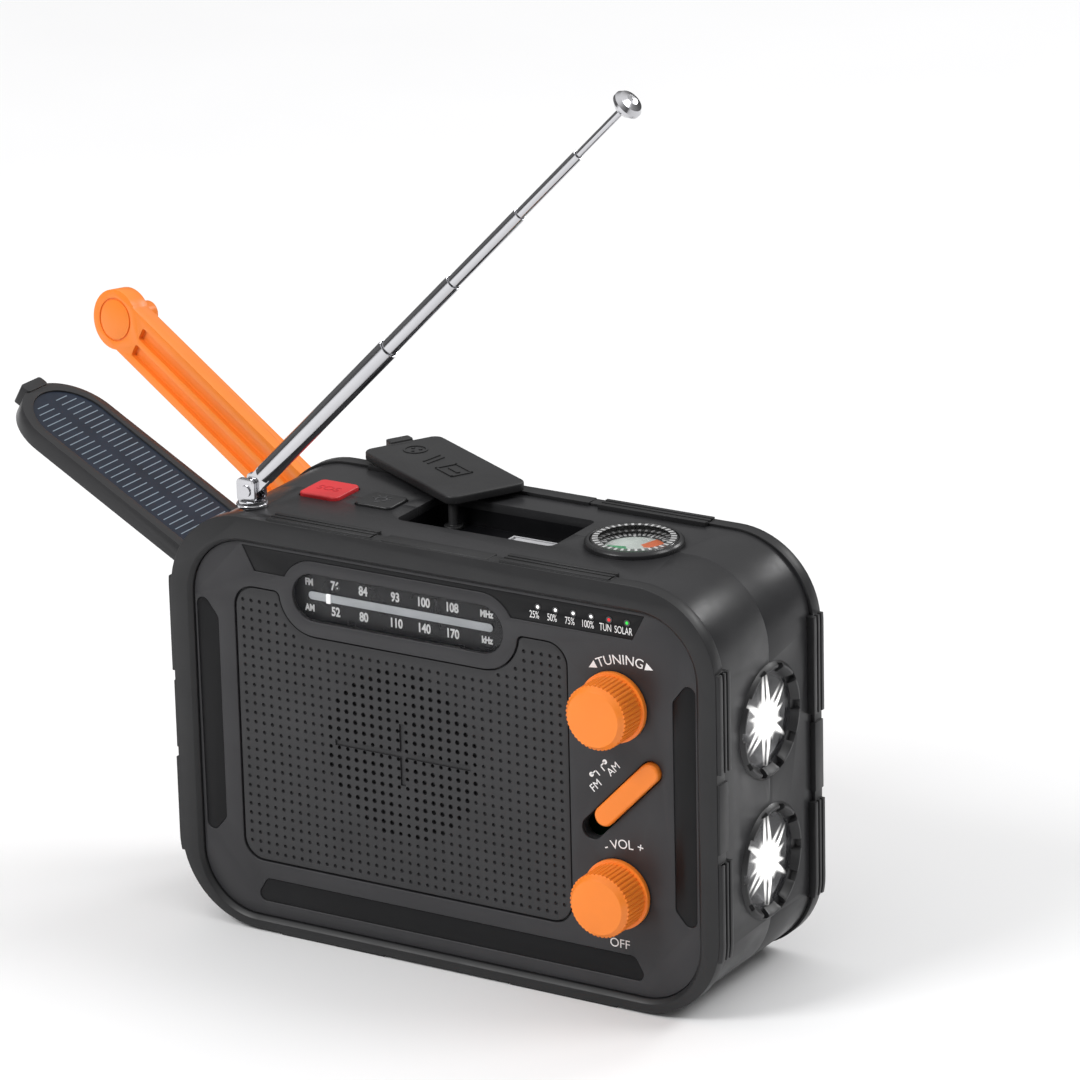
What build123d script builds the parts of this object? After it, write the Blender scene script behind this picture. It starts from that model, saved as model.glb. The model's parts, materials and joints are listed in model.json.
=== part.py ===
"""Emergency radio: two-shell case, crank dynamo, solar lid, torches, tuner and telescopic antenna.

Frame: X to the right seen from the front, Y towards the back, Z up, millimetres.
The origin is under the middle of the case, on the surface that the lower ribs stand on.
"""

from math import acos, cos, pi, radians, sin, tan
import os

from build123d import *

# ---------------------------------------------------------------- driving dimensions

BODY_W = 146.4          # case without its bumpers, left to right
BODY_BOTTOM = 1.2       # underside of the case, above the ribs it stands on
BODY_TOP = 104.3        # top face
CORNER_R = 20.0         # outer corner seen from the front
FACE_Y = -23.5          # front of the face plate
WALL_Y = -22.3          # front of the shell's own front wall
BACK_Y = 23.5           # flat back
SEAM_Y = 1.5            # parting plane, which also passes through the torches
BUMPER_Y = 25.0         # the front bumper's reach to the front
REAR_BUMPER_Y = 24.6    # the rear bumper's reach to the back, under the turning crank arm
WALL = 2.2
GAP = 0.3               # between pieces of different bodies
RUNNING = 0.06          # radial clearance of a pin that turns in its hole

BODY_H = BODY_TOP - BODY_BOTTOM
BODY_ZC = (BODY_TOP + BODY_BOTTOM) / 2
SIDE_X = BODY_W / 2

# front face
PANEL_W = 137.0
PANEL_Z = (3.8, 98.3)   # bottom and top of the flat panel inside a bumper
PANEL_R = 15.0
GRILLE_X = (-57.0, 34.2)
GRILLE_Z = (17.9, 87.0)
GRILLE_CORNER = 5.5
GRILLE_T = 0.95
CROSS_X, CROSS_Z = 18.7, 7.7        # half lengths of the cross over the speaker
HOLE_PITCH = 2.35
HOLE_R = 0.48
SPEAKER = (-11.35, 51.9)
SPEAKER_R = 25.0
SOUND_R = 21.0          # holes go right through the grille inside this circle
DIAL = (-11.65, 87.15)
DIAL_L, DIAL_H = 57.7, 11.7
DIAL_RIM = 4.1          # band of face plate between the dial and the grille
SCALE_BAR_Z = 86.9
TUNING = (47.0, 74.5)
VOLUME = (47.0, 28.5)
KNOB_R, KNOB_BASE_R, KNOB_L = 7.8, 8.5, 10.0
STRIP_CORNER = 1.8      # of the dark strips let into both faces
SWITCH = (48.18, 51.55)
SWITCH_ANGLE = 46.0
SWITCH_SPAN = 11.5      # centre of the slot to the centre of its round end
SWITCH_W = 5.5
SWITCH_TRAVEL = 5.5
LAMP_X0, LAMP_PITCH, LAMP_Z = 26.8, 4.72, 95.1

# tuning drive
DRUM_R = 7.75
CORD_D = 0.6
CORD_Y = -18.0
IDLER_PULLEY = (-41.0, 87.0)
IDLER_PULLEY_R = 3.5
POINTER_X = -31.6

# top face
SOS = (-45.7, 1.5, 10.8, 11.0)
LAMP_KEY = (-30.5, 0.6, 10.2, 8.8)
KEY_TRAVEL = 1.0
BAY_X = (-20.9, 21.8)
BAY_Y = (-8.4, 12.0)
BAY_FLOOR = 98.0
USB_A_X, USB_C_X, SOCKET_Y = 10.6, -3.4, 1.6
COMPASS = (37.8, 2.0)
COMPASS_R = 11.7
TETHER = (-15.3, 8.2)
COVER_OPEN = 151.0      # how far the cover is turned from its place over the bay
COVER_T = 2.2
ANTENNA = (-56.4, -15.4)
ANTENNA_PIVOT_Z = 108.6
ANTENNA_TILT = 44.8     # from upright

# torches on the right side
TORCH_Z = (67.2, 32.5)
TORCH_R = 14.0

# solar lid on the left side
LID_HINGE_Z = 83.3
LID_T = 4.5
LID_W = 28.0
LID_L = 68.8
LID_LIP = 1.6
LID_UP = 29.3           # angle of the open lid above level
LID_RECESS_TOP = 90.0

# crank on the back
CRANK = (-46.0, 77.0)
HUB_R = 15.5
CRANK_SHAFT_R = 3.0
CRANK_SLOPE = 27.8      # the stowed arm's slope below level
PIN_OFFSET = 2.2
PIN_Y = 23.4
PIN_R = 1.2
ARM_L = 99.9
ARM_W, ARM_T, ARM_TIP_R = 12.8, 5.0, 7.6
ARM_LIFT = 12.0         # the unfolded arm stands off the back by this angle
POCKET_END = 112.0      # from the hub to the middle of the finger pocket
DISH_R, DISH_FLOOR = 19.0, 23.0     # shallow dish that the arm's root turns over

# dynamo gears
PRESSURE = 25.0
BACKLASH = 0.14
WHEEL_TEETH, PINION_TEETH, WHEEL_M = 48, 12, 0.7
STEP_TEETH, ROTOR_TEETH, STEP_M = 40, 12, 0.5
IDLER_DIRECTION = -20.0
ROTOR_DIRECTION = -80.0

os.makedirs("parts", exist_ok=True)


# ---------------------------------------------------------------- helpers

def polar(distance, angle):
    return (distance * cos(radians(angle)), distance * sin(radians(angle)))


def plus(a, b):
    return (a[0] + b[0], a[1] + b[1])


def save(builder, name):
    """Label a finished sub-part and write its STEP file."""
    builder.part.label = name
    export_step(builder.part, f"parts/{name}.step")


def face(y):
    """Plane across the case at this y: local x is X, local y is Z, normal towards the front."""
    return Plane(origin=(0, y, 0), x_dir=(1, 0, 0), z_dir=(0, -1, 0))


def side(x):
    """Plane parallel to the side faces: local x is Y, local y is Z, normal to the right."""
    return Plane(origin=(x, 0, 0), x_dir=(0, 1, 0), z_dir=(1, 0, 0))


def case_outline(grow=0.0, mode=Mode.ADD):
    """The case seen from the front, grown or shrunk evenly."""
    with Locations((0, BODY_ZC)):
        RectangleRounded(BODY_W + 2 * grow, BODY_H + 2 * grow, CORNER_R + grow, mode=mode)


def bumper_outline(out_x, out_z, mode=Mode.ADD):
    """A bumper's outline, standing out from the case by these amounts."""
    with Locations((0, BODY_ZC)):
        RectangleRounded(BODY_W + 2 * out_x, BODY_H + 2 * out_z, CORNER_R + 1.0, mode=mode)


def panel_outline(grow=0.0):
    """The flat panel inside a bumper ring, as cut for the face plate."""
    with Locations((0, sum(PANEL_Z) / 2)):
        RectangleRounded(PANEL_W + 2 * grow, PANEL_Z[1] - PANEL_Z[0] + 2 * grow, PANEL_R + grow)


def dial_outline(grow=0.0):
    """The dial's pill shape."""
    with Locations(DIAL):
        SlotOverall(DIAL_L + 2 * grow, DIAL_H + 2 * grow)


def grille_outline(shrink=0.0):
    """The grille: a rounded rectangle that makes room for the rim of the dial."""
    width = GRILLE_X[1] - GRILLE_X[0] - 2 * shrink
    height = GRILLE_Z[1] - GRILLE_Z[0] - 2 * shrink
    with Locations((sum(GRILLE_X) / 2, sum(GRILLE_Z) / 2)):
        RectangleRounded(width, height, GRILLE_CORNER)
    with Locations(DIAL):
        SlotOverall(DIAL_L + 2 * (DIAL_RIM + shrink), DIAL_H + 2 * (DIAL_RIM + shrink),
                    mode=Mode.SUBTRACT)
    round_corners(1.6)


def inlay_polygons():
    """Corner points of the dark strips let into the front face: left, right and bottom."""
    right = [(62.0, 27.0), (67.6, 20.4), (68.0, 84.0), (66.6, 84.0), (62.0, 78.0)]
    left = [(-x, z) for x, z in reversed(right)]
    bottom = [(-54.5, 7.4), (54.5, 7.4), (50.9, 13.4), (-50.9, 13.4)]
    return [left, right, bottom]


def strips(shrink=0.0):
    """The left, right and bottom strips, with rounded corners."""
    for points in inlay_polygons():
        Polygon(*points, align=None)
    round_corners(STRIP_CORNER, shrink)


def round_corners(radius, shrink=0.0):
    """Round the corners of the sketch so far and shrink it evenly."""
    offset(amount=-radius, kind=Kind.ARC, mode=Mode.REPLACE)
    offset(amount=radius - shrink, kind=Kind.ARC, mode=Mode.REPLACE)


def top_strip(shrink=0.0):
    """The strip over the dial that also carries the charge indicators."""
    with Locations((0.3, 94.3)):
        Trapezoid(109.4 - 2 * shrink, 6.2 - 2 * shrink, 62, rotation=180)
    dial_rim = 3.2 + shrink
    with Locations(DIAL):
        SlotOverall(DIAL_L + 2 * dial_rim, DIAL_H + 2 * dial_rim, mode=Mode.SUBTRACT)


def rear_strips(shrink=0.0):
    """The four dark strips let into the back."""
    side_strip = [(62.8, 26.5), (68.3, 20.4), (68.8, 84.0), (67.4, 84.6), (62.8, 79.0)]
    Polygon(*side_strip, align=None)
    Polygon(*[(-x, z) for x, z in reversed(side_strip)], align=None)
    Polygon((-55.8, 5.0), (55.8, 5.0), (51.8, 11.2), (-51.8, 11.2), align=None)
    Polygon((-53.4, 98.0), (-48.5, 93.3), (48.5, 93.3), (53.4, 98.0), align=None)
    round_corners(STRIP_CORNER, shrink)
    with Locations((0, 8.4)):
        Circle(3.3 + shrink, mode=Mode.SUBTRACT)
    with Locations(CRANK):
        Circle(DISH_R + 0.6 + shrink, mode=Mode.SUBTRACT)


def switch_line(half, along=0.0, width=SWITCH_W):
    """A slot on the band switch's line, with this half length between its end centres."""
    middle = plus(SWITCH, polar(along, SWITCH_ANGLE))
    with Locations(Location((*middle, 0), (0, 0, SWITCH_ANGLE))):
        SlotCenterToCenter(2 * half, width)


def indicator_points():
    return [(LAMP_X0 + LAMP_PITCH * k, LAMP_Z) for k in range(6)]


def rear_screw_points():
    return [(-66.0, 92.1), (66.0, 92.1), (-64.4, 10.6), (64.4, 10.6), (0.0, 8.4)]


def crank_point(distance):
    """Point on the stowed arm's line, measured from the hub towards the finger pocket."""
    slope = radians(CRANK_SLOPE)
    return (CRANK[0] + distance * cos(slope), CRANK[1] - distance * sin(slope))


def crank_run(start, end, radius):
    """Slot from one distance to another along the stowed arm's line."""
    a, b = crank_point(start), crank_point(end)
    middle = ((a[0] + b[0]) / 2, (a[1] + b[1]) / 2)
    with Locations(Location((*middle, 0), (0, 0, -CRANK_SLOPE))):
        SlotCenterToCenter(end - start, 2 * radius)


def lid_outline(grow=0.0):
    """The lid: a straight hinge end and a round free end, along local x from the hinge."""
    half = LID_W / 2 + grow
    end = LID_L + grow
    start = 0 if grow >= 0 else 5.0
    with BuildLine() as rim:
        Polyline((end - half, half), (start, half), (start, -half), (end - half, -half))
        ThreePointArc((end - half, -half), (end, 0), (end - half, half))
    make_face(rim.edges())


def gear_points(teeth, module, first_tooth):
    """Closed outline of a spur gear: involute flanks as short straight facets.

    first_tooth is the direction of one tooth's middle, in degrees.
    """
    pitch_r = teeth * module / 2
    base_r = pitch_r * cos(radians(PRESSURE))
    tip_r = pitch_r + 0.95 * module
    root_r = pitch_r - 1.25 * module
    start_r = max(base_r, root_r + 0.05)

    def involute(r):
        a = acos(min(1.0, base_r / r))
        return tan(a) - a

    half_at_pitch = pi / (2 * teeth) - BACKLASH / (4 * pitch_r)
    facets = 4
    points = []
    for k in range(teeth):
        middle = radians(first_tooth) + 2 * pi * k / teeth
        flank = []
        for n in range(facets):
            r = start_r + (tip_r - start_r) * n / (facets - 1)
            flank.append((r, half_at_pitch + involute(pitch_r) - involute(r)))
        foot = flank[0][1]
        rising = [(root_r, -foot)] + [(r, -a) for r, a in flank]
        falling = [(r, a) for r, a in reversed(flank)] + [(root_r, foot)]
        points += [(r * cos(middle + a), r * sin(middle + a)) for r, a in rising + falling]
    return points


def gear(centre, teeth, module, first_tooth, y_front, y_back):
    """Add a gear that fills y_front to y_back, facing the front."""
    with BuildSketch(face(y_back)) as profile:
        with Locations(centre):
            Polygon(*gear_points(teeth, module, first_tooth), align=None)
    extrude(profile.sketch, amount=y_back - y_front)


# ---------------------------------------------------------------- case shells

IDLER = plus(CRANK, polar((WHEEL_TEETH + PINION_TEETH) * WHEEL_M / 2, IDLER_DIRECTION))
ROTOR = plus(IDLER, polar((STEP_TEETH + ROTOR_TEETH) * STEP_M / 2, ROTOR_DIRECTION))
IDLER_POST_R = 1.5

TOP_CUTS = [
    (SOS[0], SOS[1], SOS[2] + 2 * GAP, SOS[3] + 2 * GAP),
    (LAMP_KEY[0], LAMP_KEY[1], LAMP_KEY[2] + 2 * GAP, LAMP_KEY[3] + 2 * GAP),
    (sum(BAY_X) / 2, sum(BAY_Y) / 2, BAY_X[1] - BAY_X[0], BAY_Y[1] - BAY_Y[0]),
]
LID_HINGE = (-SIDE_X + LID_T / 2, LID_HINGE_Z)
LID_PIN_R = 1.1
STRAP = plus((-53.2, 21.2), polar(15.5, 238))       # axis of the strap pin
STRAP_POCKET = plus((-53.2, 21.2), polar(15.2, 238))
STRAP_Y = (-3.0, 6.0)


def cut_top_openings():
    """Key, port bay, compass and antenna openings in the top wall."""
    with BuildSketch(Plane.XY.offset(BODY_TOP - 8)) as openings:
        for x, y, w, d in TOP_CUTS:
            with Locations((x, y)):
                RectangleRounded(w, d, 1.8)
        with Locations(COMPASS):
            Circle(COMPASS_R + 0.02)
        with Locations(ANTENNA):
            Circle(2.42)
    extrude(openings.sketch, amount=10, mode=Mode.SUBTRACT)


def cut_side_openings():
    """Torch openings on the right, the lid's recess on the left and the strap pocket."""
    with BuildSketch(side(SIDE_X - 14)) as torches:
        for z in TORCH_Z:
            with Locations((SEAM_Y, z)):
                Circle(TORCH_R + 0.02)
    extrude(torches.sketch, amount=16, mode=Mode.SUBTRACT)
    recess_floor = SIDE_X - LID_T - 0.7
    with BuildSketch(side(-recess_floor)) as recess:
        with Locations((0, (LID_RECESS_TOP + LID_HINGE_Z - LID_L + LID_W / 2) / 2)):
            Rectangle(LID_W + 1.2, LID_RECESS_TOP - LID_HINGE_Z + LID_L - LID_W / 2)
        with Locations((0, LID_HINGE_Z - LID_L + LID_W / 2)):
            Circle(LID_W / 2 + 0.6)
        with Locations((0, LID_HINGE_Z - LID_L - 0.6)):
            RectangleRounded(10.0, 5.0, 1.0)
    extrude(recess.sketch, amount=-12, mode=Mode.SUBTRACT)
    with BuildSketch(face(STRAP_Y[1])) as pocket:
        with Locations(Location((*STRAP_POCKET, 0), (0, 0, 238))):
            Rectangle(16.0, 13.0)
    extrude(pocket.sketch, amount=STRAP_Y[1] - STRAP_Y[0], mode=Mode.SUBTRACT)
    with BuildSketch(face(SEAM_Y + 9)) as pin_hole:
        with Locations(STRAP):
            Circle(1.5)
    extrude(pin_hole.sketch, amount=16.5, mode=Mode.SUBTRACT)
    with BuildSketch(face(LID_W / 2 + 2.2)) as hinge_hole:
        with Locations(LID_HINGE):
            Circle(LID_PIN_R + 0.05)
    extrude(hinge_hole.sketch, amount=LID_W + 4.4, mode=Mode.SUBTRACT)


def lid_recess_wall(y_low, y_high):
    """Wall behind the lid's recess, between two y values."""
    with BuildSketch(face(y_high)) as wall:
        with Locations((-SIDE_X + 4.1, (LID_RECESS_TOP + 12) / 2)):
            Rectangle(6.0, LID_RECESS_TOP + 2 - 8.0)
    extrude(wall.sketch, amount=y_high - y_low)


def strap_block(y_low, y_high):
    """Block of case material around the strap pocket."""
    with BuildSketch(face(y_high)) as block:
        case_outline(-0.5)
        with Locations(Location((*STRAP_POCKET, 0), (0, 0, 238))):
            Rectangle(19.5, 17.0, mode=Mode.INTERSECT)
    extrude(block.sketch, amount=y_high - y_low)


with BuildPart() as front_shell:
    with BuildSketch(face(SEAM_Y)):
        case_outline()
    extrude(amount=SEAM_Y - WALL_Y)
    fillet(front_shell.faces().sort_by(Axis.Y)[0].edges(), 2.0)
    with BuildSketch(face(SEAM_Y)):
        case_outline(-WALL)
    extrude(amount=SEAM_Y - WALL_Y - 2.0, mode=Mode.SUBTRACT)
    lid_recess_wall(-LID_W / 2 - 2.4, SEAM_Y)
    strap_block(-6.0, SEAM_Y)
    cut_top_openings()
    cut_side_openings()
    with BuildSketch(face(WALL_Y + 4)):
        with Locations(SPEAKER):
            Circle(SPEAKER_R - 2.0)
        with Locations(plus(DIAL, (0, 0.6))):
            RectangleRounded(DIAL_L + 4.0, DIAL_H + 5.4, 3.0)
        with Locations(TUNING, VOLUME):
            Circle(3.4)
        with Locations(*indicator_points()):
            Circle(0.95)
        switch_line(SWITCH_SPAN)
    extrude(amount=6, mode=Mode.SUBTRACT)
save(front_shell, "front_shell")

HUB_FLOOR = 18.0
SLOT_FLOOR = 19.0
POCKET_FLOOR = 9.0

with BuildPart() as rear_shell:
    with BuildSketch(face(BACK_Y)):
        case_outline()
    extrude(amount=BACK_Y - SEAM_Y)
    fillet(rear_shell.faces().sort_by(Axis.Y)[-1].edges(), 2.0)
    with BuildSketch(face(BACK_Y - 2.0)):
        case_outline(-WALL)
    extrude(amount=BACK_Y - 2.0 - SEAM_Y, mode=Mode.SUBTRACT)
    lid_recess_wall(SEAM_Y, LID_W / 2 + 2.4)
    strap_block(SEAM_Y, 9.0)
    with BuildSketch(face(BACK_Y - 1.0)):
        crank_run(0, POCKET_END, ARM_TIP_R + 2.8)
    extrude(amount=BACK_Y - 1.0 - SLOT_FLOOR + 1.8)
    with BuildSketch(face(BACK_Y - 1.0)):
        with Locations(CRANK):
            Circle(HUB_R + 2.2)
    extrude(amount=BACK_Y - 1.0 - HUB_FLOOR + 1.8)
    with BuildSketch(face(BACK_Y - 1.0)):
        crank_run(ARM_L - PIN_OFFSET, POCKET_END, 7.4)
    extrude(amount=BACK_Y - 1.0 - POCKET_FLOOR + 1.8)
    with BuildSketch(face(BACK_Y - 1.0)):
        with Locations(*rear_screw_points()):
            Circle(3.2)
    extrude(amount=BACK_Y - 1.0 - SEAM_Y)
    with BuildSketch(face(BACK_Y + 1)):
        case_outline()
    extrude(amount=BACK_Y - SEAM_Y + 1, mode=Mode.INTERSECT)
    with BuildSketch(face(BACK_Y + 1)):
        crank_run(0, POCKET_END, ARM_TIP_R + 1.0)
    extrude(amount=BACK_Y + 1 - SLOT_FLOOR, mode=Mode.SUBTRACT)
    with BuildSketch(face(BACK_Y + 1)):
        with Locations(CRANK):
            Circle(HUB_R + GAP)
    extrude(amount=BACK_Y + 1 - HUB_FLOOR, mode=Mode.SUBTRACT)
    with BuildSketch(face(BACK_Y + 1)):
        with Locations(CRANK):
            Circle(DISH_R)
    extrude(amount=BACK_Y + 1 - DISH_FLOOR, mode=Mode.SUBTRACT)
    with BuildSketch(face(BACK_Y + 1)):
        crank_run(ARM_L - PIN_OFFSET, POCKET_END, 5.6)
    extrude(amount=BACK_Y + 1 - POCKET_FLOOR, mode=Mode.SUBTRACT)
    with BuildSketch(face(BACK_Y + 1)):
        with Locations(CRANK):
            Circle(CRANK_SHAFT_R + 0.05)
    extrude(amount=12, mode=Mode.SUBTRACT)
    with BuildSketch(face(BACK_Y + 1)):
        with Locations(*rear_screw_points()):
            Circle(2.7)
    extrude(amount=3.0, mode=Mode.SUBTRACT)
    with BuildSketch(face(BACK_Y + 1)):
        with Locations(*rear_screw_points()):
            Circle(1.3)
    extrude(amount=18, mode=Mode.SUBTRACT)
    with BuildSketch(face(SLOT_FLOOR - 1.5)):
        with Locations(IDLER):
            Circle(IDLER_POST_R)
    extrude(amount=SLOT_FLOOR - 1.5 - 8.1)
    with BuildSketch(face(BACK_Y)):
        rear_strips()
    extrude(amount=0.8, mode=Mode.SUBTRACT)
    cut_top_openings()
    cut_side_openings()
save(rear_shell, "rear_shell")


# ---------------------------------------------------------------- bumpers and face

PADS_X, PADS_Z = 32.0, (74.75, 28.75)       # middles of the ribbed pads
PAD_L, SIDE_PAD_L = 29.0, 24.0


def ribbed_pads():
    """The ribbed pads of a bumper: two each on the top, the bottom and both sides."""
    with Locations((-PADS_X, BODY_TOP), (PADS_X, BODY_TOP), (-PADS_X, BODY_BOTTOM),
                   (PADS_X, BODY_BOTTOM)):
        Rectangle(PAD_L, 10)
    with Locations(*[(x, z) for x in (-SIDE_X, SIDE_X) for z in PADS_Z]):
        Rectangle(10, SIDE_PAD_L)


def middle_pads():
    """The smooth pads between the ribbed ones."""
    with Locations((0, BODY_TOP), (0, BODY_BOTTOM)):
        Rectangle(29.0, 10)
    with Locations((-SIDE_X, 51.8), (SIDE_X, 51.8)):
        Rectangle(10, 17.0)


def add_bumper(direction, seat_y, reach_y):
    """A bumper: a ring round the panel, wrapped over the case's edge, with pads.

    direction is -1 at the front and 1 at the back; seat_y is where it rests on the case.
    """
    def band(y_from, y_to, profile, mode=Mode.ADD):
        extrude(profile.sketch, amount=-direction * (y_to - y_from), mode=mode)

    with BuildSketch() as opening:
        panel_outline(0.1)
    with BuildSketch(face(direction * seat_y)) as ring:
        bumper_outline(1.0, 0.6)
        add(opening.sketch, mode=Mode.SUBTRACT)
    band(seat_y, reach_y, ring)
    with BuildSketch(face(direction * 21.2)) as wrap:
        bumper_outline(1.0, 0.6)
        case_outline(mode=Mode.SUBTRACT)
    band(21.2, reach_y, wrap)
    with BuildSketch(face(direction * 19.6)) as pads:
        ribbed_pads()
        bumper_outline(1.9, 1.2, mode=Mode.INTERSECT)
        case_outline(mode=Mode.SUBTRACT)
    band(19.6, reach_y - 0.3, pads)
    with BuildSketch(face(direction * 20.6)) as plain:
        middle_pads()
        bumper_outline(1.5, 0.9, mode=Mode.INTERSECT)
        case_outline(mode=Mode.SUBTRACT)
    band(20.6, reach_y - 0.2, plain)
    for low in (20.9, 22.5):
        with BuildSketch(face(direction * low)) as groove:
            ribbed_pads()
            bumper_outline(3.0, 3.0, mode=Mode.INTERSECT)
            bumper_outline(1.1, 0.65, mode=Mode.SUBTRACT)
        band(low, low + 0.7, groove, Mode.SUBTRACT)


with BuildPart() as front_bumper:
    add_bumper(-1, -WALL_Y, BUMPER_Y)
    inner = front_bumper.faces().sort_by(Axis.Y)[0].inner_wires()[0]
    chamfer(inner.edges(), 1.0)
save(front_bumper, "front_bumper")

with BuildPart() as rear_bumper:
    add_bumper(1, BACK_Y, REAR_BUMPER_Y)
    inner = rear_bumper.faces().sort_by(Axis.Y)[-1].inner_wires()[0]
    chamfer(inner.edges(), 1.0)
    with BuildSketch(face(REAR_BUMPER_Y + 1)):
        with Locations(*rear_screw_points()):
            Circle(3.2)
    extrude(amount=3, mode=Mode.SUBTRACT)
save(rear_bumper, "rear_bumper")

with BuildPart() as face_plate:
    with BuildSketch(face(WALL_Y)):
        panel_outline()
    extrude(amount=WALL_Y - FACE_Y)
    with BuildSketch(face(WALL_Y)):
        grille_outline(-0.25)
    extrude(amount=2, mode=Mode.SUBTRACT)
    with BuildSketch(face(WALL_Y)):
        dial_outline(0.1)
    extrude(amount=2, mode=Mode.SUBTRACT)
    with BuildSketch(face(WALL_Y)):
        strips()
    extrude(amount=2, mode=Mode.SUBTRACT)
    with BuildSketch(face(WALL_Y)):
        top_strip()
    extrude(amount=2, mode=Mode.SUBTRACT)
    with BuildSketch(face(WALL_Y)):
        with Locations(TUNING, VOLUME):
            Circle(3.4)
        switch_line(SWITCH_SPAN)
    extrude(amount=2, mode=Mode.SUBTRACT)
save(face_plate, "face_plate")

reach = int(SOUND_R / HOLE_PITCH)
sound_holes = [
    (i * HOLE_PITCH, k * HOLE_PITCH)
    for i in range(-reach, reach + 1)
    for k in range(-reach, reach + 1)
    if (i * i + k * k) * HOLE_PITCH ** 2 < SOUND_R ** 2
    and not (k == 0 and abs(i) * HOLE_PITCH < CROSS_X + 1)
    and not (i == 0 and abs(k) * HOLE_PITCH < CROSS_Z + 1)
]

with BuildPart() as speaker_grille:
    with BuildSketch(face(WALL_Y)):
        grille_outline()
        with Locations(*[plus(SPEAKER, hole) for hole in sound_holes]):
            Circle(HOLE_R, mode=Mode.SUBTRACT)
    extrude(amount=GRILLE_T)
    with BuildSketch(face(WALL_Y - GRILLE_T)):
        with Locations(SPEAKER):
            Rectangle(2 * CROSS_X, 1.0)
            Rectangle(1.0, 2 * CROSS_Z)
    extrude(amount=0.3)
save(speaker_grille, "speaker_grille")

with BuildPart() as face_inlays:
    with BuildSketch(face(WALL_Y)):
        strips(0.1)
    extrude(amount=1.0)
    with BuildSketch(face(WALL_Y)):
        top_strip(0.1)
        with Locations(*indicator_points()):
            Circle(0.9, mode=Mode.SUBTRACT)
    extrude(amount=1.0)
save(face_inlays, "face_inlays")

with BuildPart() as rear_inlays:
    with BuildSketch(face(BACK_Y - 0.15)):
        rear_strips(0.1)
    extrude(amount=0.65)
save(rear_inlays, "rear_inlays")

with BuildPart() as strap_pin:
    with BuildSketch(face(9.0)):
        with Locations(STRAP):
            Circle(1.5)
    extrude(amount=16.0)
save(strap_pin, "strap_pin")

with BuildPart() as rear_screws:
    with BuildSketch(face(22.9)):
        with Locations(*rear_screw_points()):
            Circle(2.5)
    extrude(amount=1.4)
    with BuildSketch(face(21.5)):
        with Locations(*rear_screw_points()):
            Circle(1.2)
    extrude(amount=12.5)
    with BuildSketch(face(22.95)):
        with Locations(*rear_screw_points()):
            Rectangle(3.2, 0.7)
            Rectangle(0.7, 3.2)
    extrude(amount=0.8, mode=Mode.SUBTRACT)
save(rear_screws, "rear_screws")

# ---------------------------------------------------------------- dial and controls

with BuildPart() as dial_window:
    with BuildSketch(face(WALL_Y - 0.05)):
        dial_outline()
    extrude(amount=1.0)
save(dial_window, "dial_window")

SCALE_Y = -20.4
with BuildPart() as dial_scale:
    with BuildSketch(face(SCALE_Y)):
        with Locations((DIAL[0], DIAL[1] - 0.6)):
            RectangleRounded(DIAL_L + 3.4, DIAL_H, 2.0)
    extrude(amount=0.5)
    with BuildSketch(face(SCALE_Y - 0.5)):
        with Locations((DIAL[0] - 0.4, SCALE_BAR_Z)):
            SlotOverall(50.7, 2.0)
    extrude(amount=0.3)
save(dial_scale, "dial_scale")

CORD_TOP = IDLER_PULLEY[1] + IDLER_PULLEY_R + CORD_D / 2
SIDE_PULLEY = (TUNING[0] + DRUM_R - IDLER_PULLEY_R, IDLER_PULLEY[1])
with BuildPart() as tuning_pointer:
    with BuildSketch(face(-21.45)):
        with Locations((POINTER_X, 88.5)):
            Rectangle(1.1, 12.2)
    extrude(amount=0.5)
    with BuildSketch(face(-19.0)):
        with Locations((POINTER_X, 94.7)):
            Rectangle(3.0, 1.6)
    extrude(amount=2.95)
    with BuildSketch(face(-17.4)):
        with Locations((POINTER_X, (CORD_TOP + 0.6 + 95.5) / 2)):
            Rectangle(3.0, 95.5 - CORD_TOP - 0.6)
    extrude(amount=1.6)
save(tuning_pointer, "tuning_pointer")


def add_knob(centre, shaft_end):
    """A knurled knob with a wider foot and its shaft, reaching back to shaft_end."""
    foot_y, cap_y = -23.85, -25.0
    front_y = foot_y - KNOB_L
    with BuildSketch(face(foot_y)) as foot:
        with Locations(centre):
            Circle(KNOB_BASE_R)
    extrude(foot.sketch, amount=foot_y - cap_y)
    with BuildSketch(face(cap_y)) as cap:
        with Locations(centre):
            Circle(KNOB_R)
            with PolarLocations(KNOB_R + 0.12, 44):
                Circle(0.34, mode=Mode.SUBTRACT)
    extrude(cap.sketch, amount=cap_y - front_y - 1.4)
    with BuildSketch(face(front_y + 1.4)) as crown:
        with Locations(centre):
            Circle(KNOB_R - 0.2)
    extrude(crown.sketch, amount=1.4, taper=35)
    with BuildSketch(face(foot_y)) as shaft:
        with Locations(centre):
            Circle(2.9)
    extrude(shaft.sketch, amount=foot_y - shaft_end)


with BuildPart() as tuning_knob:
    add_knob(TUNING, -17.1)
save(tuning_knob, "tuning_knob")

with BuildPart() as volume_knob:
    add_knob(VOLUME, -19.0)
save(volume_knob, "volume_knob")

with BuildPart() as tuning_drum:
    for y_back, y_front, radius in ((-17.1, -17.6, DRUM_R + 1), (-17.6, -18.4, DRUM_R),
                                    (-18.4, -18.9, DRUM_R + 1)):
        with BuildSketch(face(y_back)):
            with Locations(TUNING):
                Circle(radius)
                Circle(2.9, mode=Mode.SUBTRACT)
        extrude(amount=y_back - y_front)
save(tuning_drum, "tuning_drum")

with BuildPart() as tuning_capacitor:
    with BuildSketch(face(-12.2)):
        with Locations(TUNING):
            RectangleRounded(16, 16, 1)
    extrude(amount=4.6)
save(tuning_capacitor, "tuning_capacitor")


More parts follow.
